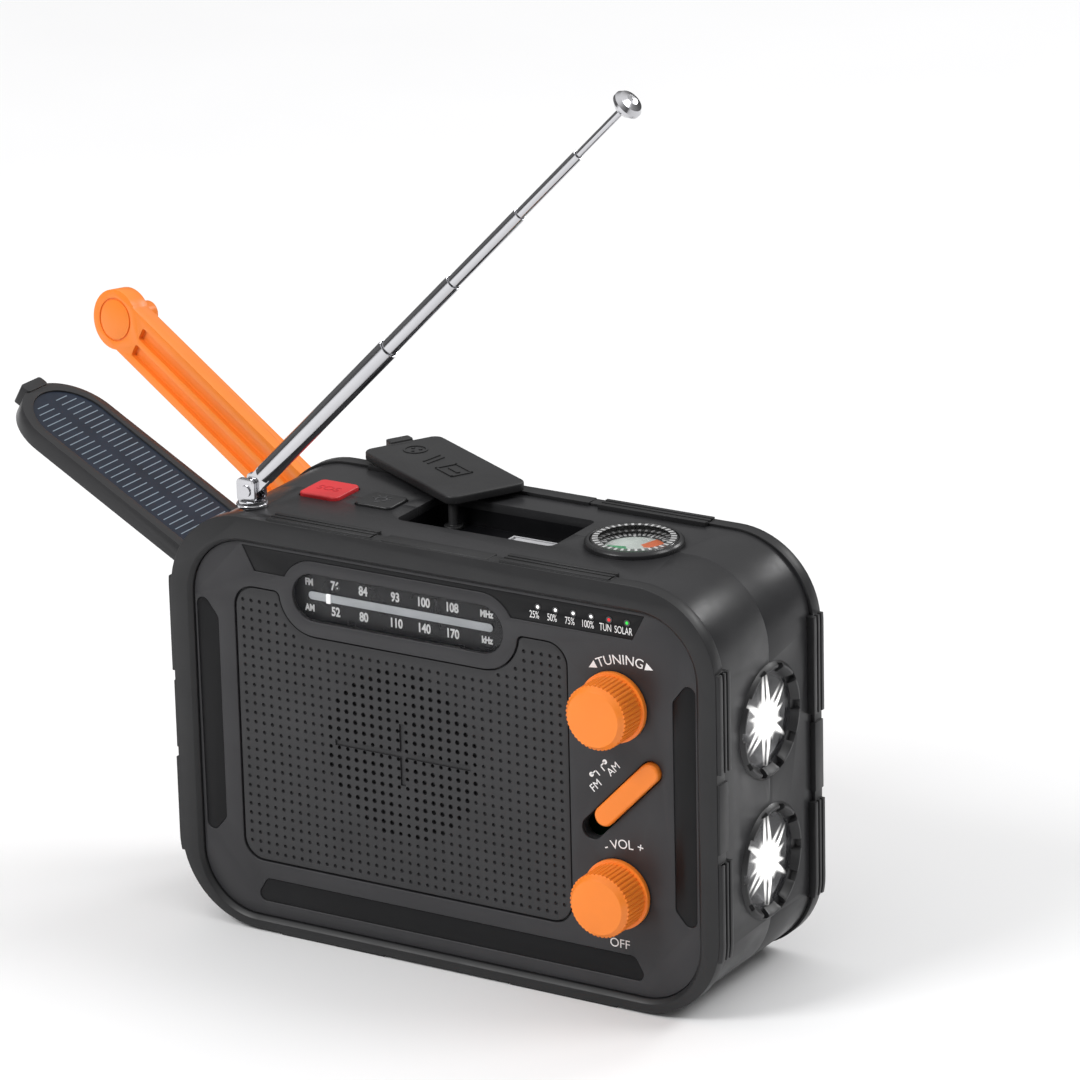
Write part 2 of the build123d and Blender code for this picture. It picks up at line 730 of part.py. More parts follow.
def cord_circles(grow):
    """The circles that the dial cord wraps round."""
    for centre, radius in ((TUNING, DRUM_R), (SIDE_PULLEY, IDLER_PULLEY_R),
                           (IDLER_PULLEY, IDLER_PULLEY_R)):
        with Locations(centre):
            Circle(radius + grow)
    make_hull()


with BuildPart() as dial_cord:
    with BuildSketch(face(CORD_Y + CORD_D / 2)):
        cord_circles(CORD_D)
    extrude(amount=CORD_D)
    with BuildSketch(face(CORD_Y + CORD_D / 2)):
        cord_circles(0.04)
    extrude(amount=CORD_D, mode=Mode.SUBTRACT)
save(dial_cord, "dial_cord")

with BuildPart() as guide_pulleys:
    for y_back, y_front, radius in ((-16.2, -17.5, 1.4), (-17.5, -17.65, 4.0), (-17.65, -18.35, 3.5),
                                    (-18.35, -18.5, 4.0), (-18.5, -20.2, 1.4)):
        with BuildSketch(face(y_back)):
            with Locations(IDLER_PULLEY, SIDE_PULLEY):
                Circle(radius)
        extrude(amount=y_back - y_front)
save(guide_pulleys, "guide_pulleys")

with BuildPart() as volume_pot:
    with BuildSketch(face(-12.2)):
        with Locations(VOLUME):
            Circle(8.0)
            Rectangle(6.0, 20.0)
    extrude(amount=6.4)
save(volume_pot, "volume_pot")

SLIDER_HALF = SWITCH_SPAN - SWITCH_TRAVEL / 2
with BuildPart() as band_slider:
    with BuildSketch(face(-22.6)):
        switch_line(SLIDER_HALF, SWITCH_TRAVEL / 2, 5.0)
    extrude(amount=2.3)
    fillet(band_slider.faces().sort_by(Axis.Y)[0].edges(), 0.7)
    with BuildSketch(face(-19.6)):
        switch_line(1.5, SWITCH_TRAVEL / 2, 3.0)
    extrude(amount=3.0)
save(band_slider, "band_slider")

with BuildPart() as band_switch:
    with BuildSketch(face(-12.2)):
        with Locations(Location((*SWITCH, 0), (0, 0, SWITCH_ANGLE))):
            Rectangle(13.0, 6.5)
    extrude(amount=7.0)
save(band_switch, "band_switch")

with BuildPart() as light_pipes:
    with BuildSketch(face(-15.0)):
        with Locations(*indicator_points()):
            Circle(0.8)
    extrude(amount=8.4)
save(light_pipes, "light_pipes")


def add_key(key, top):
    """A square key standing in its opening in the top face."""
    x, y, w, d = key
    with BuildSketch(Plane.XY.offset(100.6)) as body:
        with Locations((x, y)):
            RectangleRounded(w, d, 1.5)
    extrude(body.sketch, amount=top - 100.6)


with BuildPart() as sos_button:
    add_key(SOS, 105.2)
    fillet(sos_button.faces().sort_by(Axis.Z)[-1].edges(), 0.5)
save(sos_button, "sos_button")

with BuildPart() as lamp_button:
    add_key(LAMP_KEY, 105.0)
    fillet(lamp_button.faces().sort_by(Axis.Z)[-1].edges(), 0.5)
save(lamp_button, "lamp_button")

# ---------------------------------------------------------------- port bay and cover

BAY_W, BAY_D = BAY_X[1] - BAY_X[0], BAY_Y[1] - BAY_Y[0]
BAY_C = (sum(BAY_X) / 2, sum(BAY_Y) / 2)
USB_A, USB_C = (14.4, 6.6), (9.4, 3.6)

with BuildPart() as port_bay:
    with BuildSketch(Plane.XY.offset(BAY_FLOOR - 1.4)):
        with Locations(BAY_C):
            RectangleRounded(BAY_W + 2.4, BAY_D + 2.4, 3.0)
    extrude(amount=BODY_TOP - WALL - BAY_FLOOR + 1.4)
    with BuildSketch(Plane.XY.offset(BAY_FLOOR)):
        with Locations(BAY_C):
            RectangleRounded(BAY_W, BAY_D, 1.8)
    extrude(amount=8, mode=Mode.SUBTRACT)
    with BuildSketch(Plane.XY.offset(BAY_FLOOR - 2)):
        with Locations((USB_A_X, SOCKET_Y)):
            Rectangle(*USB_A)
        with Locations((USB_C_X, SOCKET_Y)):
            SlotOverall(*USB_C)
        with Locations(TETHER):
            Circle(1.3)
    extrude(amount=3, mode=Mode.SUBTRACT)
save(port_bay, "port_bay")

with BuildPart() as usb_sockets:
    with BuildSketch(Plane.XY.offset(86)):
        with Locations((USB_A_X, SOCKET_Y)):
            Rectangle(*USB_A)
        with Locations((USB_C_X, SOCKET_Y)):
            SlotOverall(*USB_C)
    extrude(amount=2.0)
    with BuildSketch(Plane.XY.offset(88)):
        with Locations((USB_A_X, SOCKET_Y)):
            Rectangle(*USB_A)
            Rectangle(USB_A[0] - 1.0, USB_A[1] - 1.0, mode=Mode.SUBTRACT)
        with Locations((USB_A_X, SOCKET_Y + 1.3)):
            Rectangle(11.6, 1.9)
    extrude(amount=12.0)
    with BuildSketch(Plane.XY.offset(88)):
        with Locations((USB_C_X, SOCKET_Y)):
            SlotOverall(*USB_C)
            SlotOverall(USB_C[0] - 0.8, USB_C[1] - 0.8, mode=Mode.SUBTRACT)
            Rectangle(6.6, 0.7)
    extrude(amount=10.6)
save(usb_sockets, "usb_sockets")

COVER_Z = BODY_TOP + 1.2 + GAP          # over the rear bumper's ribs
with BuildPart() as cover_tether:
    for low, high, radius in ((92.0, 93.2, 2.6), (93.2, 98.05, 1.2), (98.05, 98.8, 2.3),
                              (98.8, COVER_Z + 1.4, 1.2)):
        with BuildSketch(Plane.XY.offset(low)):
            with Locations(TETHER):
                Circle(radius)
        extrude(amount=high - low)
save(cover_tether, "cover_tether")

COVER_FAR, COVER_NEAR, COVER_FRONT, COVER_BACK = 37.5, -6.0, -17.0, 4.2
COVER_PLANE = Plane(origin=(*TETHER, COVER_Z), x_dir=(*polar(1, COVER_OPEN), 0), z_dir=(0, 0, 1))
with BuildPart() as port_cover:
    with BuildSketch(COVER_PLANE):
        with Locations(((COVER_FAR + COVER_NEAR) / 2, (COVER_FRONT + COVER_BACK) / 2)):
            RectangleRounded(COVER_FAR - COVER_NEAR, COVER_BACK - COVER_FRONT, 2.6)
    extrude(amount=COVER_T)
    fillet(port_cover.faces().sort_by(Axis.Z)[-1].edges(), 0.6)
    with BuildSketch(COVER_PLANE):
        with Locations((COVER_FAR + 0.4, (COVER_FRONT + COVER_BACK) / 2)):
            RectangleRounded(2.8, 6.2, 0.5)
    extrude(amount=COVER_T + 0.8)
    with BuildSketch(COVER_PLANE):
        Circle(1.25)
    extrude(amount=1.5, mode=Mode.SUBTRACT)
save(port_cover, "port_cover")

# ---------------------------------------------------------------- compass

COMPASS_TOP = 105.9
with BuildPart() as compass_housing:
    with BuildSketch(Plane.XY.offset(99.6)):
        with Locations(COMPASS):
            Circle(COMPASS_R)
    extrude(amount=COMPASS_TOP - 99.6)
    chamfer(compass_housing.faces().sort_by(Axis.Z)[-1].edges(), 0.7)
    with BuildSketch(Plane.XY.offset(100.8)):
        with Locations(COMPASS):
            Circle(10.4)
    extrude(amount=6, mode=Mode.SUBTRACT)
    with BuildSketch(Plane.XY.offset(100.8)):
        with Locations(COMPASS):
            Circle(0.6)
    extrude(amount=2.0)
save(compass_housing, "compass_housing")

with BuildPart() as compass_card:
    with BuildSketch(Plane.XY.offset(102.9)):
        with Locations(COMPASS):
            Circle(9.9)
    extrude(amount=0.6)
    with BuildSketch(Plane.XY.offset(102.3)):
        with Locations(COMPASS):
            Circle(1.5)
            Circle(0.68, mode=Mode.SUBTRACT)
    extrude(amount=0.6)
save(compass_card, "compass_card")

with BuildPart() as compass_lens:
    with BuildSketch(Plane.XY.offset(104.5)):
        with Locations(COMPASS):
            Circle(10.4)
    extrude(amount=1.5)
    fillet(compass_lens.faces().sort_by(Axis.Z)[-1].edges(), 0.8)
save(compass_lens, "compass_lens")

# ---------------------------------------------------------------- torches

BEZEL_X = SIDE_X + 0.9


def turned(points, z):
    """Turn a profile of (x, radius) points about one torch's axis."""
    plane = Plane(origin=(0, SEAM_Y, z), x_dir=(1, 0, 0), z_dir=(0, -1, 0))
    with BuildSketch(plane) as profile:
        Polygon(*points, align=None)
    revolve(profile.sketch, axis=Axis((0, SEAM_Y, z), (1, 0, 0)))


with BuildPart() as torch_bezels:
    for z in TORCH_Z:
        turned([(70.6, 11.3), (70.6, TORCH_R), (BEZEL_X - 0.9, TORCH_R), (BEZEL_X, TORCH_R - 0.9),
                (BEZEL_X, 12.6), (BEZEL_X - 1.6, 11.3)], z)
        with BuildSketch(side(BEZEL_X)):
            with Locations((SEAM_Y, z)):
                with PolarLocations(12.2, 10):
                    Rectangle(2.6, 2.4)
        extrude(amount=-1.8, mode=Mode.SUBTRACT)
save(torch_bezels, "torch_bezels")

with BuildPart() as torch_reflectors:
    for z in TORCH_Z:
        turned([(61.0, 2.6), (61.0, 3.6), (70.6, 11.3), (71.5, 11.3), (71.5, 10.4), (62.0, 2.6)], z)
save(torch_reflectors, "torch_reflectors")

with BuildPart() as torch_lenses:
    for z in TORCH_Z:
        turned([(71.6, 0), (71.6, 11.25), (72.4, 11.25), (72.9, 6.0), (73.0, 0)], z)
save(torch_lenses, "torch_lenses")

with BuildPart() as torch_leds:
    for z in TORCH_Z:
        turned([(59.2, 0), (59.2, 7.0), (60.2, 7.0), (60.2, 1.8), (61.4, 1.8), (62.3, 1.2),
                (62.7, 0)], z)
save(torch_leds, "torch_leds")

# ---------------------------------------------------------------- solar lid

LID_PLANE = Plane(origin=(LID_HINGE[0], 0, LID_HINGE[1]),
                  x_dir=(-cos(radians(LID_UP)), 0, sin(radians(LID_UP))),
                  z_dir=(sin(radians(LID_UP)), 0, cos(radians(LID_UP))))
CELL_INSET = 2.8
LAMP_RUN = (12.0, 58.0, 6.0)        # reading lamp: start, end and radius along the lid


def lamp_slot(shrink=0.0):
    start, end, radius = LAMP_RUN
    with Locations(((start + end) / 2, 0)):
        SlotOverall(end - start - 2 * shrink, 2 * (radius - shrink))


with BuildPart() as lid_frame:
    with BuildSketch(LID_PLANE.offset(-LID_T / 2)):
        lid_outline()
    extrude(amount=LID_T)
    with BuildSketch(LID_PLANE.offset(-LID_T / 2)):
        with Locations((LID_L + LID_LIP / 2 - 0.6, 0)):
            RectangleRounded(LID_LIP + 1.2, 8.0, 0.8)
    extrude(amount=LID_T + 0.5)
    with BuildSketch(LID_PLANE.offset(LID_T / 2 - 1.0)):
        lid_outline(-CELL_INSET)
    extrude(amount=2, mode=Mode.SUBTRACT)
    with BuildSketch(LID_PLANE.offset(-LID_T / 2)):
        lamp_slot()
    extrude(amount=0.8, mode=Mode.SUBTRACT)
    with BuildSketch(face(LID_W / 2)):
        with Locations(LID_HINGE):
            Circle(LID_T / 2)
    extrude(amount=LID_W)
    with BuildSketch(face(LID_W / 2 + 2.0)):
        with Locations(LID_HINGE):
            Circle(LID_PIN_R)
    extrude(amount=LID_W + 4.0)
save(lid_frame, "lid_frame")

with BuildPart() as solar_cell:
    with BuildSketch(LID_PLANE.offset(LID_T / 2 - 1.0)):
        lid_outline(-CELL_INSET - 0.1)
    extrude(amount=0.6)
save(solar_cell, "solar_cell")

with BuildPart() as reading_lamp:
    with BuildSketch(LID_PLANE.offset(-LID_T / 2)):
        lamp_slot(0.05)
    extrude(amount=0.8)
save(reading_lamp, "reading_lamp")

# ---------------------------------------------------------------- crank and dynamo

slope = radians(CRANK_SLOPE)
lift = radians(ARM_LIFT)
AWAY = Vector(-cos(slope), 0, sin(slope))           # from the hub, opposite to the stowed arm
OUT = Vector(0, 1, 0)
PIN = Vector(CRANK[0], PIN_Y, CRANK[1]) + AWAY * PIN_OFFSET
ARM_DIR = AWAY * cos(lift) + OUT * sin(lift)
ARM_UP = OUT * cos(lift) - AWAY * sin(lift)         # the side that the knob stands on
ARM_PLANE = Plane(origin=PIN, x_dir=ARM_DIR, z_dir=ARM_UP)
PIN_PLANE = Plane(origin=PIN, x_dir=AWAY, z_dir=AWAY.cross(OUT))
HUB_FACE = 25.0

with BuildPart() as crank_hub:
    with BuildSketch(face(HUB_FACE)):
        with Locations(CRANK):
            Circle(HUB_R)
    extrude(amount=HUB_FACE - HUB_FLOOR - GAP)
    fillet(crank_hub.faces().sort_by(Axis.Y)[-1].edges(), 0.8)
    with BuildSketch(face(HUB_FACE + 1)):
        with Locations(Location((*CRANK, 0), (0, 0, -CRANK_SLOPE))):
            Rectangle(40, ARM_W + 0.8)
    extrude(amount=HUB_FACE + 1 - 19.3, mode=Mode.SUBTRACT)
    with BuildSketch(face(HUB_FLOOR + GAP)):
        with Locations(CRANK):
            Circle(CRANK_SHAFT_R)
    extrude(amount=HUB_FLOOR + GAP - 11.5)
    with BuildSketch(PIN_PLANE.offset(-11.0)):
        Circle(PIN_R + RUNNING)
    extrude(amount=22.0, mode=Mode.SUBTRACT)
save(crank_hub, "crank_hub")

with BuildPart() as crank_fold_pin:
    with BuildSketch(PIN_PLANE.offset(-10.8)):
        Circle(PIN_R)
    extrude(amount=21.6)
save(crank_fold_pin, "crank_fold_pin")

CHANNEL_W, CHANNEL_D, CHANNEL_OFF = 3.4, 1.5, 2.55
with BuildPart() as crank_arm:
    with BuildSketch(ARM_PLANE.offset(-ARM_T / 2)):
        with Locations((ARM_L / 2, 0)):
            Rectangle(ARM_L, ARM_W)
        with Locations((ARM_L, 0)):
            Circle(ARM_TIP_R)
    extrude(amount=ARM_T)
    with BuildSketch(PIN_PLANE.offset(-ARM_W / 2)):
        Circle(ARM_T / 2)
    extrude(amount=ARM_W)
    with BuildSketch(ARM_PLANE.offset(-ARM_T / 2)):
        with Locations(((15 + ARM_L - 9) / 2, CHANNEL_OFF), ((15 + ARM_L - 9) / 2, -CHANNEL_OFF)):
            RectangleRounded(ARM_L - 24, CHANNEL_W, 0.6)
    extrude(amount=CHANNEL_D, mode=Mode.SUBTRACT)
    with BuildSketch(ARM_PLANE.offset(-ARM_T / 2)):
        with Locations((ARM_L, 0)):
            Circle(5.5)
            Circle(5.0, mode=Mode.SUBTRACT)
    extrude(amount=0.4, mode=Mode.SUBTRACT)
    with BuildSketch(PIN_PLANE.offset(-ARM_W)):
        Circle(PIN_R + RUNNING)
    extrude(amount=2 * ARM_W, mode=Mode.SUBTRACT)
    with BuildSketch(ARM_PLANE.offset(-ARM_T / 2 + 1.0)):
        with Locations((ARM_L, 0)):
            Circle(2.15)
    extrude(amount=ARM_T, mode=Mode.SUBTRACT)
save(crank_arm, "crank_arm")

with BuildPart() as crank_knob:
    with BuildSketch(ARM_PLANE.offset(-ARM_T / 2 + 1.3)):
        with Locations((ARM_L, 0)):
            Circle(2.1)
    extrude(amount=ARM_T - 1.0)
    with BuildSketch(ARM_PLANE.offset(ARM_T / 2 + GAP)):
        with Locations((ARM_L, 0)):
            Circle(3.3)
    extrude(amount=6.9)
save(crank_knob, "crank_knob")

with BuildPart() as drive_gear:
    gear(CRANK, WHEEL_TEETH, WHEEL_M, IDLER_DIRECTION, 12.5, 15.5)
    with BuildSketch(face(15.5)):
        with Locations(CRANK):
            Circle(CRANK_SHAFT_R)
    extrude(amount=3.0, mode=Mode.SUBTRACT)
save(drive_gear, "drive_gear")

with BuildPart() as idler_gear:
    gear(IDLER, PINION_TEETH, WHEEL_M, IDLER_DIRECTION + 180 + 180 / PINION_TEETH, 11.0, 16.0)
    gear(IDLER, STEP_TEETH, STEP_M, ROTOR_DIRECTION, 8.5, 11.0)
    with BuildSketch(face(16.0)):
        with Locations(IDLER):
            Circle(IDLER_POST_R + RUNNING)
    extrude(amount=8.0, mode=Mode.SUBTRACT)
save(idler_gear, "idler_gear")

ROTOR_SHAFT_R = 1.0
with BuildPart() as generator_case:
    with BuildSketch(face(7.9)):
        with Locations(ROTOR):
            Circle(12.0)
    extrude(amount=8.7)
    with BuildSketch(face(7.0)):
        with Locations(ROTOR):
            Circle(10.8)
    extrude(amount=6.9, mode=Mode.SUBTRACT)
    with BuildSketch(face(8.0)):
        with Locations(ROTOR):
            Circle(ROTOR_SHAFT_R + RUNNING)
    extrude(amount=2.0, mode=Mode.SUBTRACT)
save(generator_case, "generator_case")

with BuildPart() as generator_rotor:
    with BuildSketch(face(6.5)):
        with Locations(ROTOR):
            Circle(9.6)
    extrude(amount=5.8)
    with BuildSketch(face(8.2)):
        with Locations(ROTOR):
            Circle(ROTOR_SHAFT_R)
    extrude(amount=1.8)
    gear(ROTOR, ROTOR_TEETH, STEP_M, ROTOR_DIRECTION + 180 + 180 / ROTOR_TEETH, 8.2, 11.3)
save(generator_rotor, "generator_rotor")

# ---------------------------------------------------------------- inside the case


def round_about_speaker(points):
    """Turn a profile of (radius, y) points about the speaker's axis."""
    plane = Plane(origin=(SPEAKER[0], 0, SPEAKER[1]), x_dir=(1, 0, 0), z_dir=(0, 0, 1))
    with BuildSketch(plane) as profile:
        Polygon(*points, align=None)
    revolve(profile.sketch, axis=Axis((SPEAKER[0], 0, SPEAKER[1]), (0, 1, 0)))


with BuildPart() as speaker_frame:
    round_about_speaker([(22.4, -20.25), (SPEAKER_R, -20.25), (SPEAKER_R, -19.2), (23.0, -19.0),
                         (12.5, -8.0), (11.0, -8.0), (11.0, -1.4), (0, -1.4), (0, -7.2),
                         (11.6, -9.0), (21.9, -19.4)])
save(speaker_frame, "speaker_frame")

with BuildPart() as speaker_cone:
    round_about_speaker([(21.6, -20.1), (21.8, -19.6), (6.0, -12.0), (0, -10.0), (0, -10.6),
                         (6.2, -12.6)])
save(speaker_cone, "speaker_cone")

with BuildPart() as main_board:
    with BuildSketch(face(-10.4)):
        with Locations((38.5, 51.5)):
            Rectangle(37.0, 92.0)
    extrude(amount=1.6)
save(main_board, "main_board")

with BuildPart() as battery:
    with BuildSketch(side(-39.0)):
        with Locations((6.0, 22.0)):
            Circle(9.2)
    extrude(amount=65.0)
save(battery, "battery")

with BuildPart() as ferrite_rod:
    with BuildSketch(side(-58.0)):
        with Locations((0.0, 91.5)):
            Circle(4.0)
    extrude(amount=47.0)
    with BuildSketch(side(-40.0)):
        with Locations((0.0, 91.5)):
            Circle(4.8)
    extrude(amount=14.0)
save(ferrite_rod, "ferrite_rod")

# ---------------------------------------------------------------- telescopic antenna

tilt = radians(ANTENNA_TILT)
PIVOT = (ANTENNA[0], ANTENNA[1], ANTENNA_PIVOT_Z)
MAST_PLANE = Plane(origin=PIVOT, x_dir=(cos(tilt), 0, -sin(tilt)), z_dir=(sin(tilt), 0, cos(tilt)))
TANG_T, CHEEK_T = 3.2, 1.0
MAST_ENDS = [56.5, 82.2, 108.1, 130.3, 146.6]       # outer ends from the pivot
MAST_STARTS = [5.5, 32.5, 58.6, 84.5, 106.6]        # inner ends, inside the tube outside them
MAST_OD = [5.1, 4.1, 3.3, 2.55, 1.7]
MAST_ID = [4.4, 3.55, 2.75, 1.95, 0]

with BuildPart() as antenna_base:
    for low, high, radius in ((96.0, 98.6, 2.4), (98.6, 100.0, 3.3), (100.0, 104.3, 2.4),
                              (104.3, 105.2, 3.8)):
        with BuildSketch(Plane.XY.offset(low)):
            with Locations(ANTENNA):
                Circle(radius)
                Circle(1.6, mode=Mode.SUBTRACT)
        extrude(amount=high - low)
save(antenna_base, "antenna_base")

with BuildPart() as antenna_fork:
    with BuildSketch(Plane.XY.offset(97.0)):
        with Locations(ANTENNA):
            Circle(1.54)
    extrude(amount=8.3)
    with BuildSketch(Plane.XY.offset(105.25)):
        with Locations(ANTENNA):
            Circle(3.4)
    extrude(amount=0.75)
    with BuildSketch(face(ANTENNA[1] + TANG_T / 2 + 0.1 + CHEEK_T)):
        with Locations((ANTENNA[0], 108.7)):
            RectangleRounded(5.0, 5.9, 1.2)
    extrude(amount=TANG_T + 0.2 + 2 * CHEEK_T)
    with BuildSketch(face(ANTENNA[1] + TANG_T / 2 + 0.1)):
        with Locations((ANTENNA[0], 109.7)):
            Rectangle(9.0, 7.4)
    extrude(amount=TANG_T + 0.2, mode=Mode.SUBTRACT)
    with BuildSketch(face(ANTENNA[1] + 5)):
        with Locations((PIVOT[0], PIVOT[2])):
            Circle(1.0)
    extrude(amount=10, mode=Mode.SUBTRACT)
save(antenna_fork, "antenna_fork")

CHEEK_OUT = TANG_T / 2 + 0.1 + CHEEK_T
with BuildPart() as antenna_pin:
    with BuildSketch(face(ANTENNA[1] + CHEEK_OUT)):
        with Locations((PIVOT[0], PIVOT[2])):
            Circle(1.0)
    extrude(amount=2 * CHEEK_OUT)
    for y_back in (ANTENNA[1] + CHEEK_OUT + 0.4, ANTENNA[1] - CHEEK_OUT):
        with BuildSketch(face(y_back)):
            with Locations((PIVOT[0], PIVOT[2])):
                Circle(1.35)
        extrude(amount=0.4)
save(antenna_pin, "antenna_pin")

TIP = MAST_ENDS[-1]
TIP_POINTS = [(0, TIP), (1.6, TIP), (2.6, TIP + 0.5), (3.6, TIP + 1.6), (3.6, TIP + 2.4),
              (2.9, TIP + 3.4), (1.4, TIP + 4.0), (0, TIP + 4.1)]


def add_tang():
    """The flat tang that hinges the mast between the fork's cheeks."""
    with BuildSketch(face(ANTENNA[1] + TANG_T / 2)) as tang:
        with Locations((PIVOT[0], PIVOT[2])):
            Circle(2.1)
            with Locations(Location((0, 0, 0), (0, 0, 90 - ANTENNA_TILT))):
                with Locations((3.2, 0)):
                    Rectangle(6.4, 4.2)
    extrude(tang.sketch, amount=TANG_T)
    with BuildSketch(face(ANTENNA[1] + 5)) as pin_hole:
        with Locations((PIVOT[0], PIVOT[2])):
            Circle(1.06)
    extrude(pin_hole.sketch, amount=10, mode=Mode.SUBTRACT)


for number, (start, end, outer, inside) in enumerate(
        zip(MAST_STARTS, MAST_ENDS, MAST_OD, MAST_ID), 1):
    with BuildPart() as section:
        with BuildSketch(MAST_PLANE.offset(start)):
            Circle(outer / 2)
        extrude(amount=end - start)
        if inside:
            with BuildSketch(MAST_PLANE.offset(start + 1.0)):
                Circle(inside / 2)
            extrude(amount=end - start, mode=Mode.SUBTRACT)
        else:
            with BuildSketch(Plane(origin=PIVOT, x_dir=MAST_PLANE.x_dir, z_dir=(0, -1, 0))) as cap:
                Polygon(*TIP_POINTS, align=None)
            revolve(cap.sketch, axis=Axis(PIVOT, tuple(MAST_PLANE.z_dir)))
        if number == 1:
            add_tang()
    save(section, f"antenna_section_{number}")
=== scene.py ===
"""Looks for the emergency radio: rounded copies of the moulded parts, grille, prints, materials and light."""
import json
from math import cos, hypot, pi, radians, sin

import bmesh
import bpy
from mathutils import Matrix, Vector
from mathutils.geometry import delaunay_2d_cdt

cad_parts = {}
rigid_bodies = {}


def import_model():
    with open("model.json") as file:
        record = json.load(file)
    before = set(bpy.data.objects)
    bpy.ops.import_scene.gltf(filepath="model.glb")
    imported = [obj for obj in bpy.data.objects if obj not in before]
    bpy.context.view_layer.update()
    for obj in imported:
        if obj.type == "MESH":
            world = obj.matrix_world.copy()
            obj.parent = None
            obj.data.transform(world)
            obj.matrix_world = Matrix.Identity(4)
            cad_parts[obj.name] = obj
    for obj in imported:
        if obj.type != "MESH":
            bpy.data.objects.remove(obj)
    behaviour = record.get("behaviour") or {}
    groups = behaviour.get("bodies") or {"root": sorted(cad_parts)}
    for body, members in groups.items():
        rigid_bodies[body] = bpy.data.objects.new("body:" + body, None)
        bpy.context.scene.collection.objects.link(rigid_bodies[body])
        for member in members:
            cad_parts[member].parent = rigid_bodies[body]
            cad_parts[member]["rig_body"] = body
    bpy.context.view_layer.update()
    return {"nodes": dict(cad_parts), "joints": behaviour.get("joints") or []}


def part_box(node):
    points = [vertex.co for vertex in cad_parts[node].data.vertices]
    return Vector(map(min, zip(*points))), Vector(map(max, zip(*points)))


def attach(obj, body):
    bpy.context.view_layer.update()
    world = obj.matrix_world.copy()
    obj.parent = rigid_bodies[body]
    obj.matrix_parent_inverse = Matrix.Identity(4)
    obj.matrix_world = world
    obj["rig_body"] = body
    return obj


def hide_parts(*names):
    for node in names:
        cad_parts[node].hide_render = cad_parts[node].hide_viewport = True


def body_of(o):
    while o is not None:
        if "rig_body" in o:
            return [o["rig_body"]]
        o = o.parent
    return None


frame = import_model()

MM = 0.001

# ---------------------------------------------------------------- places, from the frame


def low(node):
    return Vector(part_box(node)[0])


def high(node):
    return Vector(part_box(node)[1])


def middle(node):
    return (low(node) + high(node)) / 2


def joint(name):
    return next(j for j in frame["joints"] if j["name"] == name)


FACE_Y = low("face_plate").y
TUNING = middle("tuning_knob")
VOLUME = middle("volume_knob")
SPEAKER = middle("speaker_frame")
DIAL = middle("dial_window")
COMPASS = middle("compass_card")
LAMPS = middle("light_pipes")
LAMP_R = 0.8 * MM
LAMP_PITCH = (high("light_pipes").x - low("light_pipes").x - 2 * LAMP_R) / 5
TORCH_TOP = high("torch_leds").z - 7 * MM
TORCH_LOW = low("torch_leds").z + 7 * MM
TORCH_Y = middle("torch_leds").y
LID_HINGE = Vector(joint("lid_hinge")["pos_m"])
LID_UP = radians(29.3)
TETHER = middle("cover_tether")
COVER_TURN = radians(151)


def lamp_x(k):
    """X of the middle of light pipe k, from the left."""
    return low("light_pipes").x + LAMP_R + LAMP_PITCH * k


# ---------------------------------------------------------------- materials


def nodes_of(material):
    material.use_nodes = True
    tree = material.node_tree
    return tree, tree.nodes, tree.nodes["Principled BSDF"]


def noise(tree, size, detail=3.0, rough=0.55):
    """Noise with features of about this size, in metres."""
    coordinates = tree.nodes.new("ShaderNodeTexCoord")
    texture = tree.nodes.new("ShaderNodeTexNoise")
    texture.inputs["Scale"].default_value = 1.0 / size
    texture.inputs["Detail"].default_value = detail
    texture.inputs["Roughness"].default_value = rough
    tree.links.new(coordinates.outputs["Object"], texture.inputs["Vector"])
    return texture.outputs["Fac"]


def ramp(tree, factor, stops, mode="LINEAR"):
    """A colour ramp with (position, colour) stops."""
    node = tree.nodes.new("ShaderNodeValToRGB")
    node.color_ramp.interpolation = mode
    while len(node.color_ramp.elements) < len(stops):
        node.color_ramp.elements.new(0.5)
    for element, (position, colour) in zip(node.color_ramp.elements, stops):
        element.position = position
        element.color = (*colour, 1.0)
    tree.links.new(factor, node.inputs["Fac"])
    return node.outputs["Color"]


def remap(tree, value, from_low, from_high, to_low, to_high):
    node = tree.nodes.new("ShaderNodeMapRange")
    for key, number in zip(("From Min", "From Max", "To Min", "To Max"),
                           (from_low, from_high, to_low, to_high)):
        node.inputs[key].default_value = number
    tree.links.new(value, node.inputs["Value"])
    return node.outputs["Result"]


def maths(tree, kind, a, b=0.0, clamp=False):
    node = tree.nodes.new("ShaderNodeMath")
    node.operation = kind
    node.use_clamp = clamp
    for socket, value in zip(node.inputs, (a, b)):
        if isinstance(value, (int, float)):
            socket.default_value = value
        else:
            tree.links.new(value, socket)
    return node.outputs["Value"]


def place_axes(tree):
    """The X, Y and Z sockets of the place on the part, in metres."""
    split = tree.nodes.new("ShaderNodeSeparateXYZ")
    coordinates = tree.nodes.new("ShaderNodeTexCoord")
    tree.links.new(coordinates.outputs["Object"], split.inputs["Vector"])
    return split.outputs["X"], split.outputs["Y"], split.outputs["Z"]


def length_of(tree, a, b):
    """The distance from two sides of a right angle."""
    return maths(tree, "SQRT", maths(tree, "ADD", maths(tree, "MULTIPLY", a, a),
                                     maths(tree, "MULTIPLY", b, b)))


def scaled(colour, factor):
    return tuple(min(1.0, c * factor) for c in colour)


